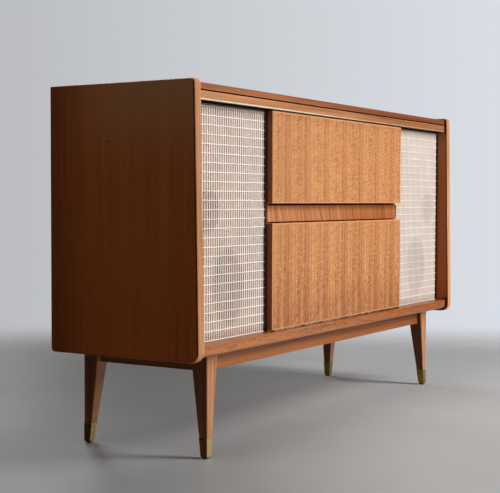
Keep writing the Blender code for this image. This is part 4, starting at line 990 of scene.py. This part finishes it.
class CONSOLE_OT_hang_doors(Operator):
    """Plates the piano hinges and stays and sets their countersunk screws"""

    bl_idname = "console.hang_doors"
    bl_label = "Hang Doors"

    def execute(self, context):
        tones = context.scene.console_metal
        plate = metal("stay_nickel", tones.nickel, scaled(tones.nickel, 0.45), rough=0.34, brush=(60.0, 900.0, 900.0))
        # the upper hinge gets no bright spots and stays dark, painted shade under the rail
        for door, rubbed in (("upper", 0.0), ("lower", 1.0)):
            leaf = hinge_metal(tones, door, rubbed)
            coat(leaf, door + "_hinge_fixed_leaf", door + "_hinge_door_leaf")
            coat(plate, door + "_stay_arm", door + "_stay_stud", door + "_stay_bracket")
            screw_hinge(door, leaf)
        return {"FINISHED"}


def hardboard():
    """Pressed brown fibre, paler on its worn edges."""
    f = Finish("back_hardboard", {"Specular IOR Level": 0.25})
    fibre, cloud = f.noise(420.0, 4.0, 0.7, 0.6), f.noise(7.0, 4.0, 0.6, 0.3)
    flake = f.add("TexVoronoi", f.place, None, 260.0)
    tone = f.total(-0.35, (fibre, 0.7), (cloud, 0.8), (flake, 0.2))
    colour = f.tones(tone, (0.15, (0.085, 0.046, 0.024)), (0.5, (0.165, 0.093, 0.050)), (0.9, (0.25, 0.15, 0.085)))
    colour, _ = wear(f, "back_panel", colour, (0.30, 0.20, 0.12), share=0.5, depth=(0.004, 0.0005),
                     patches=f.ease(cloud, 0.4, 0.7))
    return f.surface(colour, f.total(0.6, (fibre, 0.25)), f.total(0.0, (fibre, 1.0), (flake, 0.5)), depth=0.0002)


def screw_back(tones):
    """Round heads along all four edges."""
    inset, gaps_along, gaps_up = 0.011, 8, 4
    low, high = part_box("back_panel")
    left, right, foot, head = low.x + inset, high.x - inset, low.z + inset, high.z - inset
    places = [(left + (right - left) * k / gaps_along, z) for k in range(gaps_along + 1) for z in (foot, head)]
    places += [(x, foot + (head - foot) * k / gaps_up) for k in range(1, gaps_up) for x in (left, right)]
    spots = [facing((0, 1, 0), (x, high.y, z), turn=0.7 * k) for k, (x, z) in enumerate(places)]
    settle("back_screws", stamp(bmesh.new(), screw(tones.screw_radius, rise=0.0014), spots),
           metal("screw_steel", tones.nickel, scaled(tones.nickel, 0.4), rough=0.4))


class CONSOLE_OT_close_back(Operator):
    """Finishes the hardboard back and screws it on"""

    bl_idname = "console.close_back"
    bl_label = "Close Back"

    def execute(self, context):
        coat(hardboard(), "back_panel")
        coat(moulding("bush_rubber", context.scene.console_inside.rubber, rough=0.6), "lead_bush")
        screw_back(context.scene.console_metal)
        return {"FINISHED"}


def dial_glass():
    """Clear glass with faint smears."""
    f = Finish("dial_glass", {"Transmission Weight": 1.0, "IOR": 1.46})
    smear = f.noise((18.0, 18.0, 30.0), 3.0, 0.6, 0.5)
    colour = f.tones(smear, (0.3, (0.93, 0.97, 0.95)), (0.7, (0.98, 1.0, 0.99)))
    return f.surface(colour, f.ease(smear, 0.45, 0.8, 0.01, 0.09))


def surround(name, node, gilt, outset, width, rise):
    """A rounded frame on the fascia, wider than a node's outline by the outset."""
    corner, lift = 0.007, 0.0001
    low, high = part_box(node)
    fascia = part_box("receiver_fascia")[0].y
    centre = ((low.x + high.x) / 2, fascia - lift, (low.z + high.z) / 2)
    shape = bmesh.new()
    bmesh.ops.create_grid(shape, x_segments=1, y_segments=1, size=0.5, matrix=upright(
        (high.x - low.x + 2 * outset, high.z - low.z + 2 * outset), centre))
    bmesh.ops.bevel(shape, geom=shape.verts[:], offset=corner, segments=5, profile=0.5, affect="VERTICES",
                    material=-1)
    core = shape.faces[:]
    bmesh.ops.inset_region(shape, faces=core, thickness=width, depth=0.0, use_boundary=True, use_even_offset=True)
    bmesh.ops.delete(shape, geom=core, context="FACES")
    front = set(lift_faces(shape, rise))
    rims = [edge for edge in shape.edges if front.issuperset(edge.verts) and edge.calc_face_angle(0.0) > 1.0]
    bmesh.ops.bevel(shape, geom=rims, offset=0.4 * rise, segments=3, profile=0.5, affect="EDGES", material=-1)
    settle(name, outward(shape), gilt)


def set_dial(inside, ivory):
    """A printed plate with two plain number scales behind the pointer."""
    margin, thickness, lift, print_lift = 0.002, 0.00009, 0.00003, 0.00011
    low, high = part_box("dial_glass")
    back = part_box("receiver_chassis")[0].y
    plate = slab((high.x - low.x + 2 * margin, high.z - low.z + 2 * margin), (8, 2), thickness)
    put(plate, Matrix.Translation(((low.x + high.x) / 2, back - lift, (low.z + high.z) / 2)))
    settle("dial_plate", plate, moulding("dial_print", inside.dial, rough=0.4))
    set_figures(low, high, back - print_lift, ivory)


def set_figures(low, high, y, ivory):
    """Numbers and strokes of the two scales."""
    reach, rise, inset, drop, size, strokes_each = 0.16, 0.0001, 0.026, 0.010, 0.011, 4
    stroke, base_line = (0.0007, 0.005), (2 * reach + 0.02, 0.0005)
    middle = (low.x + high.x) / 2
    shape = bmesh.new()
    for row, level, way in zip(SCALES, (high.z - inset, low.z + inset), (-drop, drop)):
        gaps = len(row) - 1
        for k, word in enumerate(row):
            x = middle - reach + 2 * reach * k / gaps
            letter(shape, word, Matrix.Translation((x, y - rise / 2, level)), size, rise)
        strokes = strokes_each * gaps
        stamp(shape, slab(stroke, (1, 1), rise), [
            Matrix.Translation((middle - reach + 2 * reach * k / strokes, y, level + way))
            @ Matrix.Diagonal((1, 1, 1.0 if k % strokes_each else 1.5, 1)) for k in range(strokes + 1)])
        stamp(shape, slab(base_line, (12, 1), rise), [Matrix.Translation((middle, y, level + 1.4 * way))])
    bmesh.ops.remove_doubles(shape, verts=shape.verts, dist=1e-6)
    settle("dial_figures", outward(shape), ivory)


def letter(shape, word, place, size, rise):
    """Adds a raised word to a shape, upright and facing the front."""
    curve = bpy.data.curves.new("dial_word", "FONT")
    curve.body, curve.size, curve.extrude, curve.resolution_u = word, size, rise / 2, 4
    curve.align_x, curve.align_y = "CENTER", "CENTER"
    text = link(bpy.data.objects.new("dial_word", curve))
    graph = bpy.context.evaluated_depsgraph_get()
    mesh = bpy.data.meshes.new_from_object(text.evaluated_get(graph))
    mesh.transform(place @ upright((1, 1)))
    shape.from_mesh(mesh)
    bpy.data.meshes.remove(mesh)
    bpy.data.objects.remove(text)
    bpy.data.curves.remove(curve)


def trim_knob(inside, knob, body, gilt, brown_moulding):
    """A spun cap on the knob's face and ridges round its skirt."""
    bite, rib_middle, skirt = 0.0003, 0.0085, 0.0165
    low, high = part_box(knob)
    x, z, radius = (low.x + high.x) / 2, (low.z + high.z) / 2, (high.x - low.x) / 2
    section = ((0.0, 0.0010), (0.30, 0.0012), (0.34, 0.0006), (0.56, 0.0007), (0.62, 0.0013), (0.68, 0.0010),
               (0.70, 0.0), (0.0, 0.0))
    cap = turned([(share * radius, height) for share, height in section], steps=40)
    settle(knob + "_cap", put(cap, facing((0, -1, 0), (x, low.y, z))), gilt, body)
    rib = bmesh.new()
    bmesh.ops.create_cone(rib, cap_ends=True, segments=6, radius1=0.0011, radius2=0.0007, depth=0.0130,
                          matrix=Matrix.Translation((radius - bite, 0, rib_middle)))
    aim = facing((0, -1, 0), (x, low.y + skirt, z))
    spots = [aim @ Matrix.Rotation(math.tau * k / inside.knob_flutes, 4, "Z") for k in range(inside.knob_flutes)]
    settle(knob + "_flutes", stamp(bmesh.new(), rib, spots), brown_moulding, body)


class CONSOLE_OT_dress_receiver(Operator):
    """Finishes the receiver and adds its dial plate, figures, bezel and knob trims"""

    bl_idname = "console.dress_receiver"
    bl_label = "Dress Receiver"

    def execute(self, context):
        inside, tones = context.scene.console_inside, context.scene.console_metal
        coat(moulding("fascia_moulding", inside.fascia, rough=0.34, grit=900.0), "receiver_fascia")
        coat(metal("chassis_sheet", tones.steel, scaled(tones.steel, 0.6), rough=0.42), "receiver_chassis")
        ivory = moulding("ivory_moulding", inside.ivory, rough=0.28, grit=600.0)
        coat(ivory, "key_1", "key_2", "key_3", "key_4")
        brown_moulding = moulding("knob_moulding", inside.knob, rough=0.26)
        coat(brown_moulding, "tuning_knob", "volume_knob")
        coat(moulding("pointer_red", (0.55, 0.05, 0.03), rough=0.35), "dial_pointer")
        coat(dial_glass(), "dial_glass")
        gilt = metal("trim_gilt", tones.brass, scaled(tones.brass, 0.86), rough=0.44, brush=300.0)
        surround("dial_bezel", "dial_glass", gilt, outset=0.006, width=0.0085, rise=0.0022)
        surround("fascia_line", "receiver_fascia", gilt, outset=-0.007, width=0.0022, rise=0.0009)
        set_dial(inside, ivory)
        for knob, body in (("tuning_knob", "tuning"), ("volume_knob", "volume")):
            trim_knob(inside, knob, body, gilt, brown_moulding)
        return {"FINISHED"}


def lay_mat(inside, rubber):
    """A ribbed mat in the platter's well."""
    bore, label, hub, floor, rib, groove = 0.0050, 0.030, 0.028, 0.0016, 0.0028, 0.0018
    well, spread = 0.0025, 0.93
    low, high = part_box("platter")
    outer = spread * (high.x - low.x) / 2
    step = (outer - label) / inside.mat_ribs
    profile = [(bore, 0.0), (bore, floor), (hub, floor)]
    for k in range(inside.mat_ribs):
        profile += [(label + step * (k + share), height)
                    for share, height in ((0.0, rib), (0.55, rib), (0.65, groove), (0.9, groove))]
    profile += [(outer, floor), (outer, 0.0), (bore, 0.0)]
    centre = ((low.x + high.x) / 2, (low.y + high.y) / 2, high.z - well)
    settle("platter_mat", put(turned(profile, steps=64), Matrix.Translation(centre)), rubber, "turntable")


def fit_arm(nickel):
    """A collar on the pillar, a finger lift and a stylus block on the tone arm."""
    low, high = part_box("tone_arm")
    x = (low.x + high.x) / 2
    shape = turned(((0.0118, -0.0012), (0.0132, -0.0006), (0.0132, 0.0012), (0.0118, 0.0018), (0.0118, -0.0012)),
                   steps=32)
    put(shape, Matrix.Translation((x, ARM_PIVOT, low.z + 0.0195)))
    rod(shape, 6, facing((0, -1, 0), (x + 0.0085, low.y + 0.016, ARM_LIFT)), (0.0009, 0.0009),
        ((0.004, -0.002, 0.0004), (0.003, -0.006, 0.0015), (0.0015, -0.006, 0.003)))
    rod(shape, 4, facing((0, 0, -1), (x, low.y + 0.011, ARM_HEAD), turn=math.pi / 4), (0.0062, 0.0082),
        ((0, 0, -0.0016), (0, 0.001, -0.0008)))
    settle("arm_fittings", outward(shape), nickel, "pickup_arm")


def set_lever(nickel, rubber):
    """A speed lever on a round plate at the front of the deck."""
    low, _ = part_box("changer_deck")
    spot = Vector((low.x + 0.030, low.y + 0.028, DECK_FACE))
    shape = turned(((0.0, 0.0026), (0.0085, 0.0026), (0.0105, 0.0018), (0.0115, 0.0), (0.0, 0.0)), steps=32)
    put(shape, Matrix.Translation(spot))
    rod(shape, 8, Matrix.Translation(spot + Vector((0, 0, 0.0022))), (0.0021, 0.0021),
        ((0.002, 0.003, 0.005), (0.003, 0.006, 0.004), (0.003, 0.008, 0.0025)))
    settle("speed_lever", outward(shape), nickel)
    grip = turned(((0.0, 0.0), (0.0032, 0.0006), (0.0038, 0.005), (0.0030, 0.0085), (0.0, 0.0095)), steps=16)
    put(grip, facing((0.3, 0.85, 0.3), spot + Vector((0.0075, 0.0155, 0.0132))))
    settle("speed_lever_grip", grip, rubber, smooth=True)


class CONSOLE_OT_dress_changer(Operator):
    """Finishes the record changer and adds its ribbed mat, arm fittings and speed lever"""

    bl_idname = "console.dress_changer"
    bl_label = "Dress Changer"

    def execute(self, context):
        inside, tones = context.scene.console_inside, context.scene.console_metal
        coat(moulding("deck_enamel", inside.enamel, rough=0.26, grit=260.0, clouds=(0.94, 1.05),
                      sockets={"Coat Weight": 0.3, "Coat Roughness": 0.15}), "changer_deck")
        coat(metal("platter_alloy", (0.55, 0.54, 0.52), (0.36, 0.35, 0.33), rough=0.36), "platter")
        coat(moulding("arm_ivory", inside.ivory), "tone_arm")
        rubber = moulding("mat_rubber", inside.rubber, rough=0.62, grit=900.0)
        nickel = metal("bright_nickel", tones.nickel, scaled(tones.nickel, 0.7), rough=0.2)
        coat(nickel, "spindle")
        lay_mat(inside, rubber)
        fit_arm(nickel)
        set_lever(nickel, rubber)
        return {"FINISHED"}


def lay_floor(stage):
    """A pale floor with painted shade on its left, that thins out far from the console."""
    shape = bmesh.new()
    bmesh.ops.create_grid(shape, x_segments=8, y_segments=8, size=4.4)
    f = Finish("pale_floor", {"Specular IOR Level": 0.35})
    cloud, grit = f.noise(0.9, 5.0, 0.6, 0.4), f.noise(160.0, 3.0, 0.6)
    colour = f.mottle(f.total(-0.2, (cloud, 1.1), (grit, 0.3)), stage.floor, (0.2, 0.88), (0.8, 1.10))
    room = f.add("Mapping", f.place, None, (0.0, 0.0, stage.shade_turn))
    # painted shade: the floor darker on its left
    colour = f.dye(colour, (0.31, 0.30, 0.295), f.ease(f.add("SeparateXYZ", room, outlet="X"), 0.4, -0.75))
    narrowed = f.add("Mapping", room, None, None, (0.55, 1.0, 1.0))
    away = f.add("VectorMath", narrowed, operation="LENGTH", outlet="Value")
    f.feed(f.shader.inputs["Alpha"], f.ease(away, 2.2, 1.25))
    finished("floor", shape, f.surface(colour, f.total(0.36, (cloud, 0.3)), grit))


def studio(stage):
    """A plain backdrop that lights the scene less than it shows."""
    world = bpy.data.worlds.new("studio")
    world.use_nodes = True
    world.node_tree.nodes.clear()
    room = Mixer(world.node_tree)
    rightward = (math.cos(stage.shade_turn), -math.sin(stage.shade_turn), 0.0)
    across = room.add("VectorMath", room.add("TexCoord", outlet="Generated"), rightward,
                      operation="DOT_PRODUCT", outlet="Value")
    wall = room.blend(room.add("MapRange", across, -0.2, 0.2), stage.wall_shade, stage.wall)
    lit = room.add("Background", (0.92, 0.96, 1.0, 1.0), stage.ambient)
    mixed = room.add("MixShader", room.add("LightPath", outlet="Is Camera Ray"), lit,
                     room.add("Background", wall))
    room.feed(room.nodes.new("ShaderNodeOutputWorld").inputs["Surface"], mixed)
    return world


def set_light(name, strength, size, place):
    """A soft light that looks at the console's middle."""
    lamp = bpy.data.lights.new(name, "AREA")
    lamp.shape, lamp.energy = "RECTANGLE", strength
    lamp.size, lamp.size_y = size
    holder = link(bpy.data.objects.new(name, lamp))
    holder.visible_camera = False
    middle = Vector((0.0, 0.0, 0.5))
    aim = middle - Vector(place)
    holder.matrix_world = Matrix.Translation(place) @ aim.to_track_quat("-Z", "Y").to_matrix().to_4x4()


def stand_camera(stage):
    """A camera that stands where the stage says, turned by heading, tilt and roll."""
    lens = bpy.data.cameras.new("camera")
    lens.lens, lens.sensor_width, lens.sensor_fit = stage.lens, SENSOR_WIDTH, "HORIZONTAL"
    level, drop = math.cos(stage.tilt), math.sin(stage.tilt)
    ahead = Vector((math.sin(stage.heading) * level, math.cos(stage.heading) * level, -drop))
    right = Vector((math.cos(stage.heading), -math.sin(stage.heading), 0.0))
    turn = Matrix((right, right.cross(ahead), -ahead)).transposed() @ Matrix.Rotation(stage.roll, 3, "Z")
    holder = link(bpy.data.objects.new("camera", lens))
    holder.matrix_world = Matrix.Translation(stage.stand) @ turn.to_4x4()
    return holder


class CONSOLE_OT_build_stage(Operator):
    """Lays the floor, sets the lights and stands the camera"""

    bl_idname = "console.build_stage"
    bl_label = "Build Stage"

    def execute(self, context):
        scene, stage = context.scene, context.scene.console_stage
        lay_floor(stage)
        scene.world = studio(stage)
        for name, strength, size, place in (
                ("key_light", stage.key_power, (1.1, 3.4), (1.0, -3.1, 2.15)),
                ("left_fill", stage.fill_power, (1.6, 1.6), (-2.4, 0.35, 4.0)),
                ("back_fill", 3.0 * stage.fill_power, (2.6, 2.6), (1.8, 3.8, 2.6)),
                ("left_sheen", 0.06 * stage.fill_power, (1.2, 1.2), (-3.3, 1.25, 1.35))):
            set_light(name, strength, size, place)
        scene.camera = stand_camera(stage)
        scene.view_settings.view_transform = "Standard"
        return {"FINISHED"}


PIECE_MAKERS = (
    CONSOLE_OT_veneer_carcass,
    CONSOLE_OT_veneer_doors,
    CONSOLE_OT_weave_grilles,
    CONSOLE_OT_finish_speakers,
    CONSOLE_OT_finish_base,
    CONSOLE_OT_hang_doors,
    CONSOLE_OT_close_back,
    CONSOLE_OT_dress_receiver,
    CONSOLE_OT_dress_changer,
    CONSOLE_OT_build_stage,
)
GROUPS = {
    "console_wood": ConsoleWood,
    "console_cloth": ConsoleCloth,
    "console_metal": ConsoleMetal,
    "console_inside": ConsoleInside,
    "console_stage": ConsoleStage,
}


class CONSOLE_PT_pieces(Panel):
    """Lists the makers of the console's pieces and the values they use"""

    bl_idname = "CONSOLE_PT_pieces"
    bl_label = "Stereo Console"
    bl_space_type = "VIEW_3D"
    bl_region_type = "UI"
    bl_category = "Console"

    def draw(self, context):
        for maker in PIECE_MAKERS:
            self.layout.operator(maker.bl_idname)
        for name in GROUPS:
            group = getattr(context.scene, name)
            box = self.layout.box()
            for value in group.__annotations__:
                box.prop(group, value)


CLASSES = (*GROUPS.values(), *PIECE_MAKERS, CONSOLE_PT_pieces)


def register():
    """Registers the classes and hangs the groups of values on the scene."""
    for kind in CLASSES:
        bpy.utils.register_class(kind)
    for name, group in GROUPS.items():
        setattr(bpy.types.Scene, name, PointerProperty(type=group))


def unregister():
    """Takes back what register did."""
    for name in GROUPS:
        delattr(bpy.types.Scene, name)
    for kind in reversed(CLASSES):
        bpy.utils.unregister_class(kind)


def main():
    """Makes every piece in order."""
    register()
    for maker in PIECE_MAKERS:
        group, name = maker.bl_idname.split(".")
        getattr(getattr(bpy.ops, group), name)()


if __name__ == "__main__":
    main()
